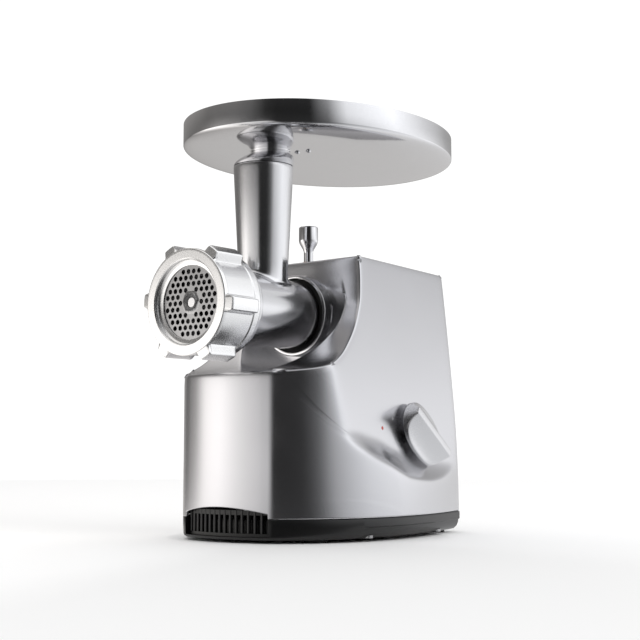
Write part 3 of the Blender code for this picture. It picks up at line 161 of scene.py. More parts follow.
def piece(name, grids, finish, body, replaced=(), sharp=32, merge=0.004):
    # grids: (points[rows, columns, 3], close rows, close columns, face filter or None)
    allPoints, allFaces, start = [], [], 0
    for points, closeRows, closeColumns, keep in grids:
        rows, columns = points.shape[:2]
        index = start + np.arange(rows * columns).reshape(rows, columns)
        if closeColumns:
            index = np.hstack([index, index[:, :1]])
        if closeRows:
            index = np.vstack([index, index[:1]])
        quads = np.stack([index[:-1, :-1], index[:-1, 1:], index[1:, 1:], index[1:, :-1]], -1).reshape(-1, 4)
        flat = points.reshape(-1, 3)
        if keep is not None:
            quads = quads[keep(flat[quads - start])]
        allPoints.append(flat)
        allFaces.append(quads)
        start += len(flat)
    mesh = bpy.data.meshes.new(name)
    mesh.from_pydata((np.concatenate(allPoints) * mm).tolist(), [], np.concatenate(allFaces).tolist())
    return finishMesh(name, mesh, finish, body, replaced, sharp, merge)


def finishMesh(name, mesh, finish, body, replaced=(), sharp=32, merge=0.004):
    shape = bmesh.new()
    shape.from_mesh(mesh)
    bmesh.ops.remove_doubles(shape, verts=shape.verts, dist=merge * mm)
    bmesh.ops.dissolve_degenerate(shape, edges=shape.edges, dist=0.5 * merge * mm)
    bmesh.ops.recalc_face_normals(shape, faces=shape.faces)
    shape.to_mesh(mesh)
    shape.free()
    mesh.shade_smooth()
    mesh.set_sharp_from_angle(angle=math.radians(sharp))
    mesh.materials.append(finish)
    made = bpy.data.objects.new(name, mesh)
    bpy.context.scene.collection.objects.link(made)
    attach(made, body)
    if replaced:
        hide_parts(*replaced)
    return made


def metal(name, colour, roughness, grainSize, bump, streak=(1, 1, 1), roughSpread=0.05, tone=0.06):
    # grainSize and bump in millimetres; streak stretches the grain along an axis
    made = bpy.data.materials.new(name)
    made.use_nodes = True
    tree = made.node_tree
    shader = tree.nodes["Principled BSDF"]
    shader.inputs["Metallic"].default_value = 1.0
    place = addNode(tree, "ShaderNodeTexCoord")
    stretch = addNode(tree, "ShaderNodeMapping", {"Scale": streak}, {"Vector": place.outputs["Object"]})
    fine = addNode(tree, "ShaderNodeTexNoise", {"Scale": 1 / (grainSize * mm), "Detail": 3.0},
                   {"Vector": stretch.outputs[0]})
    broad = addNode(tree, "ShaderNodeTexNoise", {"Scale": 22.0, "Detail": 2.0},
                    {"Vector": place.outputs["Object"]})
    mixed = addNode(tree, "ShaderNodeMath", {"operation": "MULTIPLY_ADD", 1: 0.6, 2: 0.0},
                    {0: fine.outputs["Fac"]})
    both = addNode(tree, "ShaderNodeMath", {"operation": "MULTIPLY_ADD", 1: 0.4},
                   {0: broad.outputs["Fac"], 2: mixed.outputs[0]})
    rough = addNode(tree, "ShaderNodeMapRange",
                    {"From Min": 0.3, "From Max": 0.7,
                     "To Min": roughness - roughSpread, "To Max": roughness + roughSpread},
                    {"Value": both.outputs[0]})
    tree.links.new(rough.outputs[0], shader.inputs["Roughness"])
    dark, light = ([c * f for c in linear(colour)[:3]] + [1.0] for f in (1 - tone, 1 + tone))
    ramp = addNode(tree, "ShaderNodeMix", {"data_type": "RGBA", 6: dark, 7: light},
                   {"Factor": both.outputs[0]})
    tree.links.new(ramp.outputs[2], shader.inputs["Base Color"])
    if bump > 0:
        height = addNode(tree, "ShaderNodeBump", {"Strength": 1.0, "Distance": bump * mm},
                         {"Height": fine.outputs["Fac"]})
        tree.links.new(height.outputs[0], shader.inputs["Normal"])
    return made


def moulded(name, colour, roughness, grainSize, bump, sheenTone=0.15):
    # plastic, rubber or ink: fine grain in colour, gloss and relief; sizes in millimetres
    made = bpy.data.materials.new(name)
    made.use_nodes = True
    tree = made.node_tree
    shader = tree.nodes["Principled BSDF"]
    place = addNode(tree, "ShaderNodeTexCoord")
    fine = addNode(tree, "ShaderNodeTexNoise", {"Scale": 1 / (grainSize * mm), "Detail": 4.0},
                   {"Vector": place.outputs["Object"]})
    dark, light = ([c * f for c in linear(colour)[:3]] + [1.0] for f in (1 - sheenTone, 1 + sheenTone))
    ramp = addNode(tree, "ShaderNodeMix", {"data_type": "RGBA", 6: dark, 7: light},
                   {"Factor": fine.outputs["Fac"]})
    tree.links.new(ramp.outputs[2], shader.inputs["Base Color"])
    rough = addNode(tree, "ShaderNodeMapRange",
                    {"From Min": 0.3, "From Max": 0.7,
                     "To Min": roughness - 0.05, "To Max": roughness + 0.05},
                    {"Value": fine.outputs["Fac"]})
    tree.links.new(rough.outputs[0], shader.inputs["Roughness"])
    height = addNode(tree, "ShaderNodeBump", {"Strength": 1.0, "Distance": bump * mm},
                     {"Height": fine.outputs["Fac"]})
    tree.links.new(height.outputs[0], shader.inputs["Normal"])
    return made


finishes = {
    # die-cast housing, blasted and lacquered silver: soft wide reflections with a fine speckle
    "housing": metal("blastedSilverLacquer", "#CBCBCE", 0.22, 0.5, 0.004),
    # cast aluminium head, tumbled then polished: clear bands with a slight haze
    "cast": metal("polishedCastAluminium", "#D6D6D8", 0.17, 1.2, 0.012),
    # the ring nut: the same casting, tumbled only, so whiter and softer
    "nut": metal("tumbledCastAluminium", "#EFEFEF", 0.26, 1.0, 0.010),
    # deep-drawn aluminium tray, buffed to a mirror
    "tray": metal("buffedAluminium", "#D8D8DA", 0.10, 3.0, 0.004, roughSpread=0.03),
    # plated brass pin
    "chrome": metal("chromePlate", "#DADADC", 0.06, 5.0, 0.0, roughSpread=0.02, tone=0.02),
    # satin plated knob
    "knob": metal("satinPlate", "#CFCFD1", 0.26, 0.6, 0.004),
    # hardened tool steel, surface ground: fine lines left by the wheel
    "steel": metal("groundToolSteel", "#A9A9AA", 0.28, 0.7, 0.006, streak=(1, 1, 0.15)),
    # black ABS base, lightly spark-eroded
    "black": moulded("blackAbs", "#0A0A0B", 0.38, 0.35, 0.01),
    "rubber": moulded("blackRubber", "#101010", 0.72, 0.6, 0.03),
    "nylon": moulded("naturalNylon", "#D9D5C6", 0.45, 0.8, 0.01, 0.04),
    "bronze": metal("sinteredBronze", "#B08A55", 0.38, 0.3, 0.02),
    "copper": metal("enamelledCopperWire", "#B4683A", 0.34, 0.8, 0.05, streak=(1, 1, 3)),
    "laminate": metal("stackedIronSheet", "#6E6E72", 0.42, 0.65, 0.05, streak=(0.02, 1, 0.02)),
    "gearcase": metal("asCastAlloy", "#8F9194", 0.46, 1.5, 0.05),
    "printRed": moulded("printedRed", "#B8483C", 0.45, 0.5, 0.002, 0.03),
    "printGrey": moulded("printedGrey", "#7D7D80", 0.45, 0.5, 0.002, 0.03),
}
slotFinish = {"brushed_housing": "housing", "cast_alloy": "cast", "polished_tray": "tray",
              "satin_silver": "knob", "chrome": "chrome", "steel": "steel", "black_plastic": "black",
              "rubber": "rubber", "nylon": "nylon", "bronze": "bronze", "copper": "copper",
              "laminated_iron": "laminate", "gearcase_alloy": "gearcase"}
for part in frame["record"]["subparts"]:
    cadNode = frame["nodes"][part["node"]]
    cadNode.data.materials.clear()
    cadNode.data.materials.append(finishes[slotFinish[part["material_slot"]]])
    cadNode.data.shade_smooth()
    cadNode.data.set_sharp_from_angle(angle=math.radians(30))
print("finishes made")

camera = {"focal": 74.25, "place": (713.1, -870.8, 66.0), "heading": 38.81, "pitch": 5.94}


def makeCamera():
    data = bpy.data.cameras.new("view")
    data.lens = camera["focal"]
    data.sensor_width = 36.0
    made = bpy.data.objects.new("view", data)
    made.location = Vector(camera["place"]) * mm
    made.rotation_euler = (math.radians(90 + camera["pitch"]), 0.0, math.radians(camera["heading"]))
    bpy.context.scene.collection.objects.link(made)
    bpy.context.scene.camera = made


makeCamera()

shellLow, shellHigh = nodeBox("housing_shell")
headZ = float(nodeBox("feed_screw")[0][2] + nodeBox("feed_screw")[1][2]) / 2
housing = {
    "panelHalf": 46.6, "panelCorner": -101.4, "rearCorner": (66.0, 132.0), "rearDraft": 3.5,
    "facetFront": (61.0, -7.7), "facetTaper": 0.107, "facetLean": 0.115, "facetCurl": 0.0225,
    "foot": [(-150.0, 89.0), (-56.0, 89.0), (-37.0, 88.0), (-6.0, 82.5), (22.0, 73.5),
             (63.0, 67.5), (84.0, 65.6), (170.0, 62.0)],
    "scoop": [(-8.6, 232.6), (-9.7, 215.5), (-13.0, 197.2), (-16.8, 187.2), (-23.7, 174.2), (-33.6, 162.0),
              (-48.6, 148.2), (-67.5, 138.2), (-90.0, 133.8), (-112.0, 133.0)],
    "scoopTop": 300.0, "scoopFoot": (-170.0, 132.6), "socketHole": 33.6,
    "pocketRadius": 50.0, "pocketBack": -11.0, "archHalf": 44.0, "archEdge": 22.5, "archMiddle": 27.5,
    "edge": 1.6, "crease": 1.2, "skin": 2.2, "fanFoot": 75.0,
}
panelSag = housing["panelCorner"] - shellLow[1]
panelRadius = (housing["panelHalf"] ** 2 + panelSag ** 2) / (2 * panelSag)
panelCentre = shellLow[1] + panelRadius
flankLine = np.vstack([
    bezier((housing["panelHalf"], housing["panelCorner"]),
           (housing["panelHalf"] + 23.5, housing["panelCorner"] + 20),
           (shellHigh[0] + 0.2, -58), (shellHigh[0], 0))[:-1],
    bezier((shellHigh[0], 0), (shellHigh[0], 40),
           (housing["rearCorner"][0] + 11, housing["rearCorner"][1] - 36), housing["rearCorner"])])
rearLine = bezier(housing["rearCorner"], (housing["rearCorner"][0] - 3.4, housing["rearCorner"][1] + 10),
                  (housing["rearCorner"][0] - 22, shellHigh[1]), (0, shellHigh[1]))[::-1]
scoopLine = curve(housing["scoop"], 180)


def flankX(y):  # half width of the lower body, straight on past both ends of its line
    ends = np.interp(y, flankLine[:, 1], flankLine[:, 0])
    return ends + 1.175 * np.minimum(y - flankLine[0, 1], 0) - 0.3056 * np.maximum(y - flankLine[-1, 1], 0)


def rearY(x, z):  # rear wall, drafted forwards going up
    draft = housing["rearDraft"] * (z - shellLow[2]) / (shellHigh[2] - shellLow[2])
    return np.interp(x, rearLine[:, 0], rearLine[:, 1]) - 2.94 * np.maximum(x - rearLine[-1, 0], 0) - draft


def facetX(y, z):  # side facet: leans out going down, narrows to the rear, curls out at its foot
    footY, footZ = np.array(housing["foot"]).T
    below = np.maximum(np.interp(y, footY, footZ) - z, 0)
    front = housing["facetFront"]
    return (front[0] - housing["facetTaper"] * (y - front[1]) + housing["facetLean"] * (shellHigh[2] - z)
            + np.minimum(housing["facetCurl"] * below ** 2, 70))


def scoopSide(y, z):  # signed distance to the scoop line, positive in front of and above it
    best, side = np.full(np.shape(y), 1e9), np.ones(np.shape(y))
    line = np.vstack([[scoopLine[0, 0], housing["scoopTop"]], scoopLine, housing["scoopFoot"]])
    for a, b in zip(line[:-1:3], list(line[3::3]) + [line[-1]]):
        run = b - a
        t = np.clip(((y - a[0]) * run[0] + (z - a[1]) * run[1]) / (run @ run), 0, 1)
        dy, dz = y - a[0] - t * run[0], z - a[1] - t * run[1]
        away = dy * dy + dz * dz
        cross = run[0] * dz - run[1] * dy
        nearer = away < best
        best = np.where(nearer, away, best)
        side = np.where(nearer, np.where(cross > 0, -1.0, 1.0), side)
    return side * np.sqrt(best)


def housingField(p):  # largest of the distances to all the faces, edges rounded
    x, y, z = np.abs(p[..., 0]), p[..., 1], p[..., 2]
    panel = np.hypot(x, np.minimum(y - panelCentre, 0)) - panelRadius
    slope = (flankX(y + 0.5) - flankX(y - 0.5))
    flank = (x - flankX(y)) / np.sqrt(1 + slope ** 2)
    tilt = (rearY(x + 0.5, z) - rearY(x - 0.5, z))
    rear = (y - rearY(x, z)) / np.sqrt(1 + tilt ** 2)
    lean = facetX(y, z + 0.5) - facetX(y, z - 0.5)
    facet = (x - facetX(y, z)) / np.sqrt(1.012 + lean ** 2)
    radial = np.hypot(x, z - headZ)
    pocket = np.minimum(housing["pocketRadius"] - radial, housing["pocketBack"] - y)
    walls = smoothMax(smoothMax(panel, flank, housing["crease"]), rear, 2.0)
    walls = smoothMax(walls, facet, 2.2)
    front = smoothMax(scoopSide(y, z), pocket, 1.0)
    walls = smoothMax(walls, front, housing["edge"])
    return smoothMax(walls, z - shellHigh[2], housing["edge"])


def makeHousing():
    # Grid of level by place round the body. Levels rise up the wall and then follow the scoop; the places
    # run from the middle of the front over pocket floor, pocket wall, front face, side and rear.
    top, seam, panelFront = shellHigh[2], shellLow[2], shellLow[1]
    low = np.r_[seam, seam + 0.6, seam + 1.5, np.linspace(seam + 3, 128.5, 46), 130.4, 131.6, 132.4]
    rise = scoopLine[::-1]
    rise = rise[(rise[:, 0] > housing["panelCorner"]) & (rise[:, 1] < top - 4.8)]
    rise = curve(rise, 88)
    high = top - np.array([4.0, 2.9, 2.0, 1.3, 0.7, 0.0])
    pocketLow = headZ - housing["pocketRadius"]
    z = np.r_[low, 133.05, 133.15, 133.3, rise[:, 1], high]
    z[np.argmin(np.abs(z - pocketLow))] = pocketLow
    above = z > 132.9
    frontY = np.interp(z, scoopLine[::-1, 1], scoopLine[::-1, 0])
    frontY[len(low)] = panelFront
    flat = np.clip((frontY - panelFront) / (housing["panelCorner"] - panelFront), 0, 1)
    flat = np.where(above, flat, 0)[:, None]
    inPocket = (z >= pocketLow)
    w = np.sqrt(np.maximum(housing["pocketRadius"] ** 2 - (np.minimum(z, 208.0) - headZ) ** 2, 0)) * inPocket
    floorY = np.where(inPocket, np.maximum(frontY, housing["pocketBack"]), frontY)
    cornerX = np.where(above & (frontY > housing["panelCorner"]),
                       np.minimum(flankX(frontY), facetX(frontY, z)), housing["panelHalf"])
    cornerY = np.where(above, np.maximum(frontY, housing["panelCorner"]), housing["panelCorner"])
    near = np.array([0, 0.45, 0.95, 1.6, 2.8])
    inner = np.r_[np.linspace(0, 0.9, 16), 0.96, 1.0]
    depth = np.r_[0, 0.06, np.linspace(0.2, 0.8, 5), 0.94, 1]
    wide = (cornerX - w)[:, None]
    # rows crowd together where the shelf is flat, so behind the crease they fan out down to even heights
    count = 4 + len(rise)
    spread = np.linspace(seam, housing["fanFoot"], len(low))
    even = np.r_[spread, np.linspace(spread[-1], rise[-1, 1], count)[1:], high]
    endX = housing["rearCorner"][0]
    backY = rearY(endX, even)
    for _ in range(6):
        backY = rearY(np.minimum(endX, facetX(backY, even)), even)
    even, long = even[:, None], (backY - cornerY)[:, None]
    ventFrom, ventTo = housing["archHalf"] - 0.2, housing["archHalf"]
    plain = np.linspace(0, 1, 26)[1:-1]
    across = np.hstack([near + 0 * wide, 2.8 + (wide - 5.6) * plain, wide - near[::-1]]) / wide
    lowRow = (~above)[:, None]
    column = across.shape[1] - 6
    across[:, column:column + 1] = np.where(lowRow, ventTo / wide, across[:, column:column + 1])
    across[:, column - 1:column] = np.where(lowRow, ventFrom / wide, across[:, column - 1:column])
    across[:, column + 1:column + 2] = np.where(lowRow, (wide - 1.7) / wide, across[:, column + 1:column + 2])
    along = np.hstack([near + 0 * long, 2.8 + (long - 4.4) * np.linspace(0, 1, 76)[1:-1],
                       long - 1.6, long - 0.8, long]) / long
    zc, yc = z[:, None], frontY[:, None]
    pocketFloor = np.stack([w[:, None] * inner, floorY[:, None] + 0 * inner, zc + 0 * inner], -1)
    pocketWall = np.stack([w[:, None] + 0 * depth, floorY[:, None] + (yc - floorY[:, None]) * depth,
                           zc + 0 * depth], -1)
    faceX = w[:, None] + wide * across
    bow = panelCentre - np.sqrt(panelRadius ** 2 - np.minimum(faceX, housing["panelHalf"]) ** 2)
    faceY = bow + flat * (np.maximum(yc, housing["panelCorner"]) - bow)
    face = np.stack([faceX, faceY, zc + 0 * across], -1)
    sideY = cornerY[:, None] + long * along
    fan = 1 - (1 - np.clip(long * along / 60, 0, 1)) ** 2
    sideZ = zc + (even - zc) * fan
    sideX = np.minimum(flankX(sideY), facetX(sideY, sideZ))
    side = np.stack([sideX, sideY, sideZ], -1)
    share = np.r_[pocketFloor[-1, :, 0], face[-1, 1:, 0]][::-1] / cornerX[-1]
    backX = sideX[:, -1:] * share
    back = np.stack([backX, rearY(np.minimum(backX, endX), even), even + 0 * share], -1)
    back[:, 0] = side[:, -1]
    # the arch over the grille: the lowest levels of the front panel bend up over it
    archFall = housing["archMiddle"] - housing["archEdge"]
    arch = housing["archMiddle"] - archFall * (face[..., 0] / housing["archHalf"]) ** 2
    fade = np.clip(1 - (zc - seam) / 45, 0, 1)
    lift = np.where(face[..., 0] < housing["archHalf"] - 0.1, (arch - seam) * fade, 0)
    face[..., 2] += lift
    wall = np.concatenate([pocketFloor, pocketWall, face, side[:, 1:], back[:, 1:]], 1)
    frontCount = len(inner) + len(depth)
    # the flat top: lines from the front edge to the rear edge, drawn in from the side line by their share
    depthShare = (side[-1, :, 1] - frontY[-1]) / (side[-1, -1, 1] - frontY[-1])
    rearEdge = rearY(share * sideX[-1, -1], top)[:, None]
    lid = np.stack([share[:, None] * side[-1, :, 0], frontY[-1] + (rearEdge - frontY[-1]) * depthShare,
                    top + 0 * share[:, None] * depthShare], -1)

    def keepWall(quad):
        centre = quad.mean(1)
        hole = np.hypot(quad[..., 0], quad[..., 2] - headZ) < housing["socketHole"]
        hole = hole.all(1) & (centre[:, 1] < 40)
        area = np.linalg.norm(np.cross(quad[:, 2] - quad[:, 0], quad[:, 3] - quad[:, 1]), axis=1)
        return (area > 1e-7) & ~hole

    firstPocket = int(np.argmax(inPocket))
    wall, lid = settle(wall, housingField), settle(lid, housingField)
    lowWall = wall[:firstPocket + 1, frontCount:]
    highWall = wall[firstPocket:]
    grids = []
    for sign in (1, -1):
        mirror = np.array([sign, 1, 1])
        for grid in (lowWall, highWall, lid):
            grids.append((grid * mirror, False, False, keepWall))
    made = piece("housingShell", grids, finishes["housing"], "base_unit",
                 ["housing_shell"], sharp=50, merge=0.01)
    skin = made.modifiers.new("skin", "SOLIDIFY")
    skin.thickness = housing["skin"] * mm
    skin.offset = -1


makeHousing()
print("housing made")

base = {"rows": [(40.0, 2.5), (6.0, 2.5), (3.0, 2.5), (1.9, 2.75), (1.0, 3.6), (0.55, 4.7), (0.5, 5.4),
                 (0.3, 12.0), (0.2, 17.6), (0.5, 18.2), (1.2, 18.6), (3.0, 18.6), (40.0, 18.6)],
        "middle": (0, 15), "rearRound": 2.0, "ventHalf": 44.0, "ventLow": 4.7, "ventDepth": 9.0,
        "ribs": 16, "ribPitch": 5.5, "ribWide": 2.5, "ribDeep": 2.8, "ribLow": 5.0, "ribHigh": 25.0,
        "ribInset": 4.6, "rails": [(4.9, 7.4, -0.5, 3.2), (21.5, 25.2, 0.3, 3.4)]}


def planLine(inset):  # closed plan of the lower body, moved inwards by the inset
    x = np.linspace(0, housing["panelHalf"], 40)[:-1]
    right = np.vstack([np.stack([x, panelCentre - np.sqrt(panelRadius ** 2 - x ** 2)], -1), flankLine[:-1],
                       rearLine[::-1]])
    loop = np.vstack([right, (right * (-1, 1))[-2:0:-1]])
    ahead = np.roll(loop, -1, 0) - np.roll(loop, 1, 0)
    normal = np.stack([-ahead[:, 1], ahead[:, 0]], -1) / np.hypot(*ahead.T)[:, None]
    return loop + normal * inset


def makeBase():
    # rows of (inset, height) round the plan; the lowest ones grow rounder from the front to the sides, and
    # the first and last close on the middle
    rings, floorZ = [], base["rows"][0][1]
    for inset, z in base["rows"]:
        rounder = 1 + base["rearRound"] * np.clip((planLine(0)[:, 1] + 95) / 60, 0, 1)[:, None] * (z < 5.5)
        ring = planLine(min(inset, 8.0) * rounder)
        ring = np.array(base["middle"]) + (ring - base["middle"]) * (0.0 if inset > 30 else 1.0)
        vent = (np.abs(ring[:, 0]) < base["ventHalf"]) & (ring[:, 1] < -90) & (z > base["ventLow"] + 0.1)
        ring = ring + np.stack([0 * vent, base["ventDepth"] * vent], -1)
        rings.append(np.column_stack([ring, floorZ + (z - floorZ) * rounder]))
    piece("baseMoulding", [(np.array(rings), False, True, None)], finishes["black"], "base_unit",
          ["base_moulding"], sharp=40)


def makeGrille():
    # upright ribs with a rounded-square section between two rails that follow the bowed panel
    grids = []
    half = base["ribDeep"] / 2
    bottom, topZ = base["ribLow"], base["ribHigh"]
    angle = math.tau * np.arange(16) / 16
    for k in range(base["ribs"]):
        x = (k - (base["ribs"] - 1) / 2) * base["ribPitch"]
        front = panelCentre - math.sqrt((panelRadius - base["ribInset"]) ** 2 - x * x)
        section = np.stack([x + base["ribWide"] / 2 * np.sign(np.cos(angle)) * np.abs(np.cos(angle)) ** 0.5,
                            front + half + half * np.sign(np.sin(angle)) * np.abs(np.sin(angle)) ** 0.5], -1)
        rows = [(0.0, bottom), (1.0, bottom), (1.0, topZ), (0.0, topZ)]
        middle = np.array([x, front + half])
        rib = [np.column_stack([middle + (section - middle) * s, np.full(16, z)]) for s, z in rows]
        grids.append((np.array(rib), False, True, None))
    x = np.linspace(-base["ventHalf"] + 0.4, base["ventHalf"] - 0.4, 60)
    front = panelCentre - np.sqrt((panelRadius - base["ribInset"]) ** 2 - x * x)
    for low, high, near, far in base["rails"]:
        corner = [(near, low), (near, high), (far, high), (far, low)]
        rail = [np.stack([x, front + d, 0 * x + z], -1) for d, z in corner]
        grids.append((np.array(rail), True, False, None))
    piece("ventGrille", grids, finishes["black"], "base_unit", ["vent_grille"], sharp=45)


def makeFeet():
    for where in ("front", "rear"):
        for hand in ("left", "right"):
            name = "foot_" + where + "_" + hand
            low, high = nodeBox(name)
            radius = (high[0] - low[0]) / 2
            profile = fillet([(0, low[2]), (radius, low[2], 1.2), (radius, high[2], 0.3), (0, high[2])])
            grid = turned(profile, "Z", (low + high)[:2] / 2, 64)
            piece("foot" + where.title() + hand.title(), [(grid, False, True, None)], finishes["rubber"],
                  "base_unit", [name])


makeBase()
makeGrille()
makeFeet()
print("base made")

socketLow, socketHigh = nodeBox("head_socket")
pinLow, pinHigh = nodeBox("lock_pin")
tubeTop = nodeBox("head_body")[1][2]
socket = {"radius": 34.4, "bore": 26.9, "lip": 2.8, "seal": 5.0, "flange": 39.0, "flangeAt": -5.8,
          "flangeThick": 3.2, "rearRadius": 31.0}
pin = {"stem": 4.05, "collar": 6.3, "collarLow": 217.2, "collarHigh": 218.9, "cup": 11.8, "taper": 11.0}
inlet = {"bore": 3.6, "boreDeep": 10.0, "neck": 2.0, "lip": 3.1}


def makeSocket():
    # turned collar: bore, a step for the seal, a rounded lip, and the flange that clamps it to the housing
    front, rear = socketLow[1], socketHigh[1]
    lip = socket["radius"] - socket["lip"]
    corners = [(socket["bore"], rear), (socket["bore"], front + socket["seal"]), (lip, front + socket["seal"]),
               (lip, front, 0.4), (socket["radius"], front, 0.8),
               (socket["radius"], socket["flangeAt"]), (socket["flange"], socket["flangeAt"]),
               (socket["flange"], socket["flangeAt"] + socket["flangeThick"]),
               (socket["rearRadius"], socket["flangeAt"] + socket["flangeThick"]), (socket["rearRadius"], rear)]
    piece("headSocket", [(turned(fillet(corners), "Y", (0, headZ), 160), True, True, None)], finishes["cast"],
          "base_unit", ["head_socket"])
    # rubber ring that wipes the barrel, seated in the step behind the lip
    depth = front + socket["seal"]
    seal = fillet([(socket["bore"] + 0.1, depth - 0.1), (socket["bore"] + 0.1, front + 1.2, 0.8),
                   (lip - 0.4, front + 1.0, 1.0), (lip - 0.2, depth - 0.1)])
    piece("socketSeal", [(turned(seal, "Y", (0, headZ), 160), True, True, None)], finishes["rubber"],
          "base_unit")


def makePin():
    # goblet head on a slim stem: straight cylinder, then a smooth taper into the stem
    r, stem, collar = pinHigh[0], pin["stem"], pin["collar"]
    foot, top = pinLow[2], pinHigh[2]
    head = top - pin["cup"]
    t = np.linspace(0, 1, 24)
    taper = np.stack([stem + (r - stem) * (0.5 - 0.5 * np.cos(np.pi * t)), head - pin["taper"] * (1 - t)], -1)
    shank = [(0, foot), (stem - 1, foot), (stem, foot + 1), (stem, pin["collarLow"]),
             (collar, pin["collarLow"]), (collar, pin["collarHigh"]), (stem, pin["collarHigh"])]
    cup = fillet([(r, head + 1), (r, top, 1.3), (r * 0.62, top, 0.4), (r * 0.55, top - 0.6, 0.4),
                  (0, top - 0.6)])
    profile = np.vstack([shank, taper, cup])
    piece("lockPin", [(turned(profile, "Z", (0, 0), 96), False, True, None)], finishes["chrome"], "pin",
          ["lock_pin"])


def makeInlet():
    # turned bush: a domed lip outside the wall, a neck through it and a bore for the cord
    low, high = nodeBox("cord_inlet")
    z, r, bore, rear = (low[2] + high[2]) / 2, high[0], inlet["bore"], high[1]
    neck, lipBack = r - inlet["neck"], rear - inlet["lip"]
    corners = [(bore, rear - inlet["boreDeep"]), (bore, rear, 0.8), (r - 1.5, rear, 1.0), (r, rear - 2.4, 0.8),
               (r, lipBack), (neck, lipBack), (neck, low[1]), (bore, low[1])]
    piece("cordInlet", [(turned(fillet(corners), "Y", (0, z), 64), True, True, None)], finishes["rubber"],
          "base_unit", ["cord_inlet"])


makeSocket()
makePin()
makeInlet()
print("socket, pin and inlet made")

head = {"tubeY": -59.2, "tubeTop": 24.9, "tubeFoot": 20.5, "tubeWall": 2.8, "tubeBore": 17.7,
        "barrel": 28.7, "barrelFront": 30.0, "barrelRear": -21.6, "coneFrom": -51.6, "spigot": 26.5,
        "bore": 25.2, "plateSeat": 31.4, "seatAt": -130.0, "mouth": 35.9, "flange": 37.2, "flangeAt": -106.0,
        "flangeRear": -101.0, "cove": 9.0, "bearing": 10.6, "blend": 4.5}


def barrelRadius(y):
    # straight at the rear, widening forwards to the flange
    return np.interp(y, [head["flangeRear"], head["coneFrom"], 0],
                     [head["barrelFront"], head["barrel"], head["barrel"]])


def makeHead():
    # one closed turned profile: plate seat, mouth, flange, cove into the barrel, spigot, bearing and bore
    front, rear = nodeBox("head_body")[0][1], nodeBox("head_body")[1][1]
    bore, seat, seatAt = head["bore"], head["plateSeat"], head["seatAt"]
    flange, flangeAt, flangeRear = head["flange"], head["flangeAt"], head["flangeRear"]
    cove, coveTop = np.linspace(0, math.pi / 2, 14), head["flange"] - 1.6
    outer = np.vstack([
        fillet([(bore, seatAt), (bore, seatAt), (seat, seatAt), (seat, front, 0.4), (head["mouth"], front, 0.8),
                (head["mouth"], flangeAt), (flange, flangeAt, 0.7), (flange, flangeRear, 0.9),
                (coveTop, flangeRear)]),
        np.stack([head["barrelFront"] + (coveTop - head["barrelFront"]) * (1 - np.sin(cove)),
                  flangeRear + head["cove"] * (1 - np.cos(cove))], -1)[1:],
        fillet([(head["barrel"], head["coneFrom"]), (head["barrel"], head["barrelRear"], 1.2),
                (head["spigot"], head["barrelRear"]), (head["spigot"], rear), (20, rear), (20, 0),
                (head["bearing"], 0), (head["bearing"], -6), (bore, -6), (bore, seatAt)])])
    # hopper tube: at height h over the barrel the radius is the tube's own plus a quarter-round blend
    angle = math.tau * np.arange(160) / 160
    rise = np.r_[head["blend"] * (1 - np.cos(np.linspace(0, math.pi / 2, 10))), np.linspace(8, 40, 9)]
    spread = head["blend"] * (1 - np.sin(np.linspace(0, math.pi / 2, 10)))
    spread = np.r_[spread, np.zeros(9)][:, None]
    topZ = tubeTop

    def tubeRadius(z):
        return np.interp(z, [219, topZ - 1], [head["tubeFoot"], head["tubeTop"]])

    r = tubeRadius(220.0) + spread + 0 * angle
    x, y = r * np.cos(angle), r * np.sin(angle)
    zBarrel = headZ + np.sqrt(barrelRadius(y + head["tubeY"]) ** 2 - x ** 2)
    z = zBarrel + rise[:, None] - 0.05
    full = tubeRadius(z) + spread
    foot = np.stack([full * np.cos(angle), head["tubeY"] + full * np.sin(angle), z], -1)
    level = np.linspace(0, 1, 14)[1:, None]
    zUp = z[-1] + (topZ - 3.0 - z[-1]) * level
    rUp = tubeRadius(zUp) + 0 * angle
    up = np.stack([rUp * np.cos(angle), head["tubeY"] + rUp * np.sin(angle), zUp + 0 * angle], -1)
    inside, tubeBore = head["tubeTop"] - head["tubeWall"], head["tubeBore"]
    mouth = fillet([(tubeRadius(topZ - 3.0), topZ - 3.0), (head["tubeTop"], topZ, 0.7), (inside, topZ, 0.5),
                    (inside, topZ - 21), (tubeBore, 213), (tubeBore, 205)], 5)[1:]
    rim = turned(mouth, "Z", (0, head["tubeY"]), 160)
    floor = turned(np.array([(tubeBore, 205.0), (22.0, 205.0), (24.0, 207)]), "Z", (0, head["tubeY"]), 160)
    barrelGrid = (turned(outer, "Y", (0, headZ), 160), True, True, None)
    tubeGrid = (np.concatenate([foot, up, rim, floor[1:]]), False, True, None)
    piece("headBody", [barrelGrid, tubeGrid], finishes["cast"], "head", ["head_body"])


nut = {"radius": 42.0, "waist": 40.8, "rim": 41.4, "lugs": 6, "lugStart": 55.0, "lugPlateau": 5.2,
       "lugFoot": 10.0, "lugTop": 48.5, "lugCut": 48.3, "lugFront": 0.9, "lugRear": 8.5, "lugEnd": 2.6,
       "mouth": 33.2, "lip": 29.0, "lipBack": -143.9, "thread": 36.2}


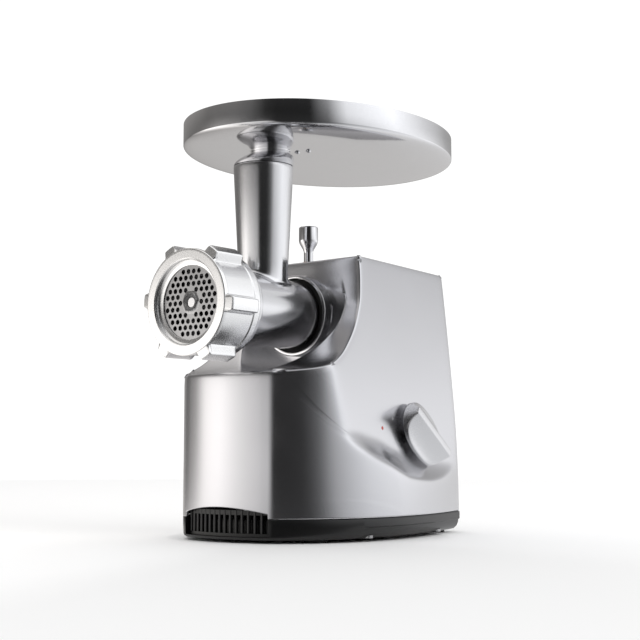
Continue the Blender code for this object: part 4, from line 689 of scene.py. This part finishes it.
def makeNut():
    # radius at angle a: the turned profile, and where a lug stands a flat-topped hump of the lug's height
    low, high = nodeBox("ring_nut")
    front, rear = low[1], high[1]
    waist, mouth, lip, lipBack, thread = (nut[k] for k in ("waist", "mouth", "lip", "lipBack", "thread"))
    out = fillet([(mouth + 0.9, front, 0.3), (nut["radius"] - 0.4, front, 0.9), (nut["radius"], front + 3.6, 0.5),
                  (waist, front + 4.6, 0.5), (waist, rear - 7.5, 0.4), (nut["rim"], rear - 6.4, 0.5),
                  (nut["rim"], rear, 1.2), (thread + 0.4, rear, 0.3), (thread, rear - 4)], 5)
    dense = []
    for a, b in zip(out, out[1:]):
        steps = max(1, int(np.hypot(*(b - a)) / 1.2))
        dense.append(a + (b - a) * np.linspace(0, 1, steps, endpoint=False)[:, None])
    dense.append(out[-1:])
    out = np.vstack(dense)
    inner = fillet([(thread, rear - 4), (thread, lipBack), (lip, lipBack, 0.2), (lip, lipBack - 0.7, 0.4),
                    (mouth - 1.4, lipBack - 1.1, 0.5), (mouth, lipBack - 2.3, 0.4), (mouth, front + 0.8, 0.4),
                    (mouth + 0.9, front)], 5)
    profile = np.vstack([out, inner[1:]])
    angle = np.degrees(math.tau * np.arange(720) / 720)
    space = 360 / nut["lugs"]
    off = np.abs((angle - nut["lugStart"] + space / 2) % space - space / 2)
    hump = np.clip((nut["lugFoot"] - off) / (nut["lugFoot"] - nut["lugPlateau"]), 0, 1)
    hump = hump * hump * (3 - 2 * hump)
    h = profile[:, 1]
    ends = np.clip((h - front - nut["lugFront"]) / nut["lugEnd"], 0, 1)
    ends = ends * np.clip((rear - nut["lugRear"] - h) / nut["lugEnd"], 0, 1)
    ends = np.sqrt(1 - (1 - ends) ** 2)
    outside = profile[:, 0] > waist - 0.6
    share = (ends * outside)[:, None] * hump
    radius = profile[:, :1] + share * (nut["lugTop"] - profile[:, :1])
    radius = np.minimum(radius, nut["lugCut"])
    a = np.radians(angle)
    grid = np.stack([radius * np.cos(a), 0 * radius + h[:, None], headZ + radius * np.sin(a)], -1)
    piece("ringNut", [(grid, True, True, None)], finishes["nut"], "nut", ["ring_nut"], sharp=38)


plate = {"hole": 2.0, "pitch": 5.6, "inner": 10.5, "outer": 26.5, "hub": 4.1, "sides": 20}  # radii


def makePlate():
    # flat face with round holes by constrained triangles; walls join the front loops to the rear ones
    low, high = nodeBox("screen_plate")
    radius = (high[0] - low[0]) / 2

    def ring(r, cx, cz, count):
        a = math.tau * np.arange(count) / count
        return np.stack([cx + r * np.cos(a), cz + r * np.sin(a)], -1)

    loops = [ring(radius, 0, 0, 120), ring(plate["hub"], 0, 0, 32)]
    step = plate["pitch"] * math.sqrt(3) / 2
    for row in range(-6, 7):
        for col in range(-7, 8):
            x, z = (col + (row % 2) / 2) * plate["pitch"], row * step
            if plate["inner"] < math.hypot(x, z) < plate["outer"]:
                loops.append(ring(plate["hole"], x, z, plate["sides"]))
    flat = [Vector(p) for loop in loops for p in loop]
    sizes = [len(loop) for loop in loops]
    starts = np.r_[0, np.cumsum(sizes)[:-1]]
    edges = [(int(s + i), int(s + (i + 1) % n)) for s, n in zip(starts, sizes) for i in range(n)]
    verts, _, faces = delaunay_2d_cdt(flat, edges, [], 0, 1e-6)[:3]
    verts = np.array([tuple(v) for v in verts])
    centres = np.array([verts[list(f)].mean(0) for f in faces])
    middles = np.array([loop.mean(0) for loop in loops[1:]])
    holeSize = np.array([np.hypot(*(loop[0] - loop.mean(0))) for loop in loops[1:]])
    gaps = np.hypot(*(centres[:, None] - middles[None]).transpose(2, 0, 1))
    keep = [f for f, ok in zip(faces, (gaps > holeSize * 0.985).all(1)) if ok]
    count = len(verts)
    y0, y1 = low[1], high[1]
    points = np.vstack([np.column_stack([verts[:, 0], np.full(count, y), headZ + verts[:, 1]])
                        for y in (y0, y1)])
    allFaces = [tuple(f) for f in keep] + [tuple(count + i for i in f[::-1]) for f in keep]
    allFaces += [(a, b, count + b, count + a) for a, b in edges]
    mesh = bpy.data.meshes.new("screenPlate")
    mesh.from_pydata((points * mm).tolist(), [], allFaces)
    finishMesh("screenPlate", mesh, finishes["steel"], "plate", ["screen_plate"], sharp=30,
               merge=0.001)


makeHead()
makeNut()
makePlate()
print("head made")

trayLow, trayHigh = nodeBox("food_tray")
tray = {"half": (105.8, 132.7), "middle": 16.5, "band": 329.4, "floor": 322.0, "curve": 44.0, "sheet": 1.6,
        "flare": 25.0, "waist": 16.5, "lean": 9.0, "spout": 21.7, "spoutDepth": 18.0,
        "nubs": [(13.0, -31.0), (23.5, -29.0)], "nubSize": (2.3, 1.9)}


def trayInset(x, y):
    # how far inside the rim's oval a place lies: (x / (a - i))^2 + ((y - middle) / (b - i))^2 = 1, by halving
    low, high = 0 * x, 0 * x + 100.0
    for _ in range(24):
        i = (low + high) / 2
        inside = (x / (tray["half"][0] - i)) ** 2 + ((y - tray["middle"]) / (tray["half"][1] - i)) ** 2 < 1
        low, high = np.where(inside, i, low), np.where(inside, high, i)
    return (low + high) / 2


def trayHeight(inset):  # underside: an elliptic cove from the band down to the floor
    share = np.sqrt(1 - np.clip(1 - inset / tray["curve"], 0, 1) ** 2)
    return tray["band"] - (tray["band"] - tray["floor"]) * share


def makeTray():
    # Rows run from the rim's edge down the band and cove on ovals, straight in to the neck, down the neck as
    # a goblet, round the spout and back up inside; every row has the same number of places.
    angle = math.tau * np.arange(320) / 320
    top, neckY, seat = trayHigh[2], head["tubeY"], tubeTop + 0.3

    def oval(inset, h):
        return np.stack([(tray["half"][0] - inset) * np.cos(angle),
                         tray["middle"] + (tray["half"][1] - inset) * np.sin(angle), h + 0 * angle], -1)

    def sheetRows(shift, lift, rho):  # cove rows, then straight lines in to the circle of radius rho
        insets = 9.0 * (1 - np.cos(np.linspace(0.12, math.pi / 2, 14)))
        ovals = [oval(shift + i, trayHeight(i) + lift) for i in insets]
        last = ovals[-1]
        toward = np.arctan2(last[:, 1] - neckY - tray["lean"], last[:, 0])
        goal = np.stack([rho * np.cos(toward), neckY + tray["lean"] + rho * np.sin(toward)], -1)
        t = np.linspace(0, 1, 40)[1:, None, None]
        flat = last[:, :2] * (1 - t) + goal * t
        inset = np.maximum(trayInset(flat[..., 0], flat[..., 1]) - shift, 0)
        web = np.concatenate([flat, (trayHeight(inset) + lift)[..., None]], -1)
        return np.concatenate([np.array(ovals), web]), toward

    def neckRows(profile, toward, rise=0.0):
        # turned rows whose middle leans back with height; the topmost keep the sheet's small rise to the rim
        r, h = profile[:, :1] + 0 * toward, profile[:, 1:] + 0 * toward
        up = np.clip((h - seat) / (tray["floor"] - 1.8 - seat), 0, 1)
        lean = tray["lean"] * up * up * (3 - 2 * up)
        fade = np.clip((h - tray["floor"] + 3) / 3, 0, 1)
        return np.stack([r * np.cos(toward), neckY + lean + r * np.sin(toward), h + fade * rise], -1)

    floor, sheet, waist = tray["floor"], tray["sheet"], tray["waist"]
    under, toward = sheetRows(0.0, 0.0, tray["flare"])
    above, _ = sheetRows(sheet, sheet, tray["flare"] - sheet)
    collar = head["tubeTop"]
    flareLine = bezier((tray["flare"], floor), (waist + 2.5, floor), (waist + 0.2, floor - 0.3),
                       (waist, floor - 1.8), 22)
    shoulder = bezier((waist, floor - 1.8), (waist + 1.2, floor - 5.0), (collar - 0.2, floor - 7.5),
                      (collar, seat), 26)
    outside = np.vstack([flareLine, shoulder[1:]])
    spout = tray["spout"]
    end = seat - tray["spoutDepth"]
    within = fillet([(collar, seat), (spout, seat, 0.2), (spout, end, 0.5), (spout - sheet, end, 0.5),
                     (spout - sheet, seat + 3.0, 5.0), (waist - sheet, floor - 6.0, 3.0),
                     (waist - sheet, floor - 3.5)], 6)
    back = flareLine[::-1] + (-sheet, sheet)
    neck = neckRows(outside, toward, under[-1, :, 2] - floor)
    lining = neckRows(within[1:-1], toward)
    throat = neckRows(back, toward, above[-1, :, 2] - floor - sheet)
    band = tray["band"]
    rimUnder = np.array([oval(i, h) for i, h in fillet([(sheet / 2, top), (0.0, top, 0.7), (0.0, band)], 5)])
    rimAbove = fillet([(sheet, band + sheet), (sheet, top, 0.7), (sheet / 2, top)], 5)
    rimAbove = np.array([oval(i, h) for i, h in rimAbove])
    grid = np.concatenate([rimUnder, under, neck[1:], lining, throat[:-1], above[::-1], rimAbove])
    grids = [(grid, False, True, None)]
    # two small welded nubs under the dish, each a turned dome
    t = np.linspace(-0.3, math.pi / 2, 9)
    dome = np.stack([tray["nubSize"][0] * np.cos(t), -tray["nubSize"][1] * np.sin(t)], -1)
    for x, y in tray["nubs"]:
        rows = turned(dome, "Z", (x, y), 32)
        rows[..., 2] += trayHeight(trayInset(np.array(x), np.array(y)))
        grids.append((rows, False, True, None))
    piece("foodTray", grids, finishes["tray"], "tray", ["food_tray"], sharp=40)


makeTray()
print("tray made")

knob = {"place": (58.5, 85.0), "angle": -37.0, "long": 31.0, "wide": 22.0, "low": 4.0, "flange": 3.4,
        "high": 14.5, "ridge": 3.4, "scoop": 20.0, "square": 2.6, "shank": 5.5, "shankDeep": 14.0}
marks = [("markOn", (2.2, 89.8), "printRed"), ("markPulse", (20.2, 98.0), "printGrey")]


def onFacet(points):  # (out, rearwards, up) from the knob's centre on the facet to the object's own axes
    y, z = knob["place"]
    out = np.array([1.0, housing["facetTaper"], housing["facetLean"]])
    out /= np.linalg.norm(out)
    back = np.array([-housing["facetTaper"], 1.0, 0.0])
    back /= np.linalg.norm(back)
    up = np.cross(out, back)
    return np.array([facetX(y, z), y, z]) + points @ np.array([out, back, up])


def knobField(p):
    # p is (out, along the fin, across it); an oval plan, cut from both sides by a round scoop down to the
    # flange, which leaves the fin standing along the middle
    x, along, across = p[..., 0], p[..., 1], np.abs(p[..., 2])
    low, top = knob["low"], knob["low"] + knob["high"]
    n = knob["square"]
    ratio = (np.abs(along / knob["long"]) ** n + (across / knob["wide"]) ** 2.0) ** 0.5
    plan = (ratio - 1) * 24
    floor = low + knob["flange"]
    axisX = floor + knob["scoop"]
    offset = knob["ridge"] + math.sqrt(knob["scoop"] ** 2 - (axisX - top) ** 2)
    dish = np.where(across < offset, knob["scoop"] - np.hypot(across - offset, x - axisX), x - floor)
    dish = np.where(x > axisX, np.where(across > knob["ridge"], 1.0, -50), dish)
    solid = smoothMax(smoothMax(dish, x - top, 0.7), plan, 0.9)
    return smoothMax(solid, low - x, 0.6)


def makeKnob():
    top, floor = knob["low"] + knob["high"], knob["low"] + knob["flange"]
    along = knob["long"] * np.sin(np.linspace(-1, 1, 121) * math.pi / 2)
    reach = knob["wide"] * np.sqrt(np.maximum(1 - np.abs(along / knob["long"]) ** knob["square"], 0))
    axisX = floor + knob["scoop"]
    offset = knob["ridge"] + math.sqrt(knob["scoop"] ** 2 - (axisX - top) ** 2)
    inner = np.minimum(knob["ridge"], reach)
    t = np.r_[0, 0.015, 0.04, 0.08, np.linspace(0.14, 0.9, 26), 0.95, 0.985, 1]
    side = inner[:, None] + (reach - inner)[:, None] * t
    ridge = inner[:, None] * np.linspace(0, 1, 9)[:-1]
    across = np.concatenate([-side[:, ::-1], -ridge[:, 1:][:, ::-1], ridge, side], 1)
    q = np.abs(across)
    hollow = axisX - np.sqrt(np.maximum(knob["scoop"] ** 2 - (np.minimum(q, offset) - offset) ** 2, 0))
    height = np.where(q <= knob["ridge"] + 1e-6, top, np.minimum(np.where(q < offset, hollow, floor), top))
    upper = np.stack([height, along[:, None] + 0 * across, across], -1)
    # the wall: the rim of the upper surface carried down to the flange's underside
    rimOne, rimTwo = upper[:, 0], upper[::-1, -1]
    rim = np.concatenate([rimOne[:-1], rimTwo[:-1]])
    drop = np.r_[0, 0.02, 0.06, np.linspace(0.12, 0.9, 12), 0.95, 0.98, 1][:, None]
    out = rim[None, :, 0] + (knob["low"] - rim[None, :, 0]) * drop
    wall = np.concatenate([out[..., None], rim[None, :, 1:] + 0 * out[..., None]], -1)
    under = np.concatenate([wall[-1:], wall[-1:] * (1, 0.9, 0.9), wall[-1:] * (1, 0.0, 0.0)])
    grids = []
    turn = math.radians(knob["angle"])
    for grid in (upper, wall, under):
        g = settle(grid, knobField, 4) if grid is not under else grid
        g = np.stack([g[..., 0], g[..., 1] * math.cos(turn) - g[..., 2] * math.sin(turn),
                      g[..., 1] * math.sin(turn) + g[..., 2] * math.cos(turn)], -1)
        grids.append((onFacet(g), False, grid is not upper, None))
    ends = np.array([(knob["shank"], -knob["shankDeep"]), (knob["shank"], knob["low"] + 1)])
    shank = turned(ends, "Z", (0, 0), 48)[..., [2, 0, 1]]
    grids.append((onFacet(shank), False, True, None))
    piece("switchKnob", grids, finishes["knob"], "switch", ["switch_knob"], sharp=60,
          merge=0.02)


def makeMarks():  # two small printed dots beside the knob, lying on the facet
    for name, (y, z), finish in marks:
        radius = np.r_[1.5, 1.45, np.linspace(1.3, 0, 5)][:, None]
        rise = np.r_[-0.1, 0.05, 0.08 * np.ones(5)][:, None]
        a = math.tau * np.arange(32) / 32
        py, pz = y + radius * np.cos(a), z + radius * np.sin(a)
        p = np.stack([facetX(py, pz) + rise + 0 * a, py, pz], -1)
        piece(name, [(p, False, True, None)], finishes[finish], "base_unit", merge=0.001)


makeKnob()
makeMarks()
print("knob made")

studio = {
    "sky": 1.1, "floor": 0.97, "reach": 3000.0, "eye": 205.0, "floorHalf": 9.0,  # floorHalf in metres
    # brightness seen by the polished faces: compass angle from +X in degrees across, elevation row by row
    "compass": [-180, -160, -148, -130, -108, -90, -74, -64, -34, -20, -6, 30, 60, 90, 120, 150, 180],
    "walls": [
        (-60, [0.7, 0.9, 0.95, 0.95, 0.75, 0.55, 0.3, 0.08, 0.06, 0.2, 0.6, 0.9, 0.95, 0.8, 0.66, 0.66, 0.7]),
        (-12, [0.35, 0.8, 1.55, 1.75, 1.25, 1.0, 0.8, 0.04, 0.04, 0.15, 0.5, 0.95, 1.15, 0.85, 0.66, 0.6, 0.35]),
        (0.0, [0.15, 0.55, 1.7, 1.95, 1.3, 1.0, 0.8, 0.02, 0.03, 0.15, 0.55, 1.15, 1.4, 0.9, 0.62, 0.4, 0.15]),
        (6.2, [0.15, 0.4, 1.5, 1.8, 1.1, 0.8, 0.5, 0.02, 0.03, 0.12, 0.6, 1.2, 1.4, 0.9, 0.5, 0.35, 0.15]),
        (8.0, [0.16, 0.2, 0.3, 0.42, 0.3, 0.14, 0.06, 0.03, 0.03, 0.16, 0.8, 1.3, 1.25, 0.7, 0.4, 0.25, 0.16]),
        (16., [0.24, 0.2, 0.17, 0.18, 0.17, 0.13, 0.03, 0.02, 0.02, 0.25, 1.1, 1.5, 0.9, 0.45, 0.3, 0.25, 0.24]),
        (30., [0.45, 0.35, 0.25, 0.22, 0.22, 0.16, 0.04, 0.03, 0.03, 0.4, 1.2, 1.6, 0.9, 0.6, 0.55, 0.5, 0.45]),
        (48., [1.0, 0.9, 0.8, 0.7, 0.7, 0.6, 0.3, 0.25, 0.25, 0.8, 1.3, 1.5, 1.3, 1.2, 1.1, 1.0, 1.0]),
        (70., [1.2] * 17)],
    "tint": [(1.0, 0.965, 0.93), (0.97, 0.98, 1.0)],
}


def makeStudio():
    world = bpy.data.worlds.new("studio")
    bpy.context.scene.world = world
    world.use_nodes = True
    world.node_tree.nodes["Background"].inputs["Color"].default_value = (1, 1, 1, 1)
    world.node_tree.nodes["Background"].inputs["Strength"].default_value = studio["sky"]
    bpy.context.scene.view_settings.view_transform = "Standard"  # plain tones, so white paper stays white
    data = bpy.data.meshes.new("floor")
    reach = studio["floorHalf"]
    data.from_pydata([(-reach, -reach, 0), (reach, -reach, 0), (reach, reach, 0), (-reach, reach, 0)], [],
                     [(0, 1, 2, 3)])
    floor = bpy.data.objects.new("floor", data)
    bpy.context.scene.collection.objects.link(floor)
    paper = bpy.data.materials.new("paleFloor")
    paper.use_nodes = True
    shader = paper.node_tree.nodes["Principled BSDF"]
    shader.inputs["Base Color"].default_value = (studio["floor"], studio["floor"], studio["floor"], 1)
    shader.inputs["Roughness"].default_value = 0.6
    data.materials.append(paper)


def makeWalls():
    # A dome of soft panels and dark flats far round the table, there for reflections only. A place at
    # compass angle a and elevation e lies at reach * (cos a cos e, sin a cos e, sin e) from the middle of the
    # machine, and its glow is blended between the rows.
    compass = np.arange(-180, 180.1, 2.0)
    rise = np.array([row[0] for row in studio["walls"]])
    glow = np.array([np.interp(compass, studio["compass"], row[1]) for row in studio["walls"]])
    levels = np.r_[-60, -45, -30, -20, -14, -10, -7, -5, -3.8, np.linspace(-3, 12, 16), np.linspace(14, 70, 20)]
    rows = np.stack([np.interp(levels, rise, glow[:, k]) for k in range(len(compass))], -1)
    a, e = np.radians(compass), np.radians(levels)[:, None]
    eye = studio["eye"]
    reach = np.where(e < -0.067, (eye - 1) / np.maximum(np.sin(-e), 0.05), studio["reach"])  # low rows: floor
    points = np.stack([reach * np.cos(a) * np.cos(e) + 0 * e, reach * np.sin(a) * np.cos(e) + 0 * e,
                       eye + reach * np.sin(e) + 0 * a], -1)
    warm = (0.5 + 0.5 * np.cos(a + math.radians(165)))[:, None]
    tint = np.array(studio["tint"][1]) * (1 - warm) + np.array(studio["tint"][0]) * warm
    colour = np.concatenate([rows[..., None] * tint, np.ones(rows.shape + (1,))], -1)
    index = np.arange(rows.size).reshape(rows.shape)
    quads = np.stack([index[:-1, :-1], index[1:, :-1], index[1:, 1:], index[:-1, 1:]], -1).reshape(-1, 4)
    data = bpy.data.meshes.new("studioWalls")
    data.from_pydata((points.reshape(-1, 3) * mm).tolist(), [], quads.tolist())
    data.color_attributes.new("glow", "FLOAT_COLOR", "POINT").data.foreach_set("color", colour.ravel())
    made = bpy.data.objects.new("studioWalls", data)
    finish = bpy.data.materials.new("studioGlow")
    finish.use_nodes = True
    tree = finish.node_tree
    tree.nodes.remove(tree.nodes["Principled BSDF"])
    source = addNode(tree, "ShaderNodeAttribute", {"attribute_name": "glow"})
    shine = addNode(tree, "ShaderNodeEmission", {"Strength": 1.0}, {"Color": source.outputs["Color"]})
    tree.links.new(shine.outputs[0], tree.nodes["Material Output"].inputs["Surface"])
    data.materials.append(finish)
    bpy.context.scene.collection.objects.link(made)
    for sight in ("visible_camera", "visible_shadow", "visible_diffuse", "visible_transmission"):
        setattr(made, sight, False)


makeWalls()
makeStudio()
print("studio made")
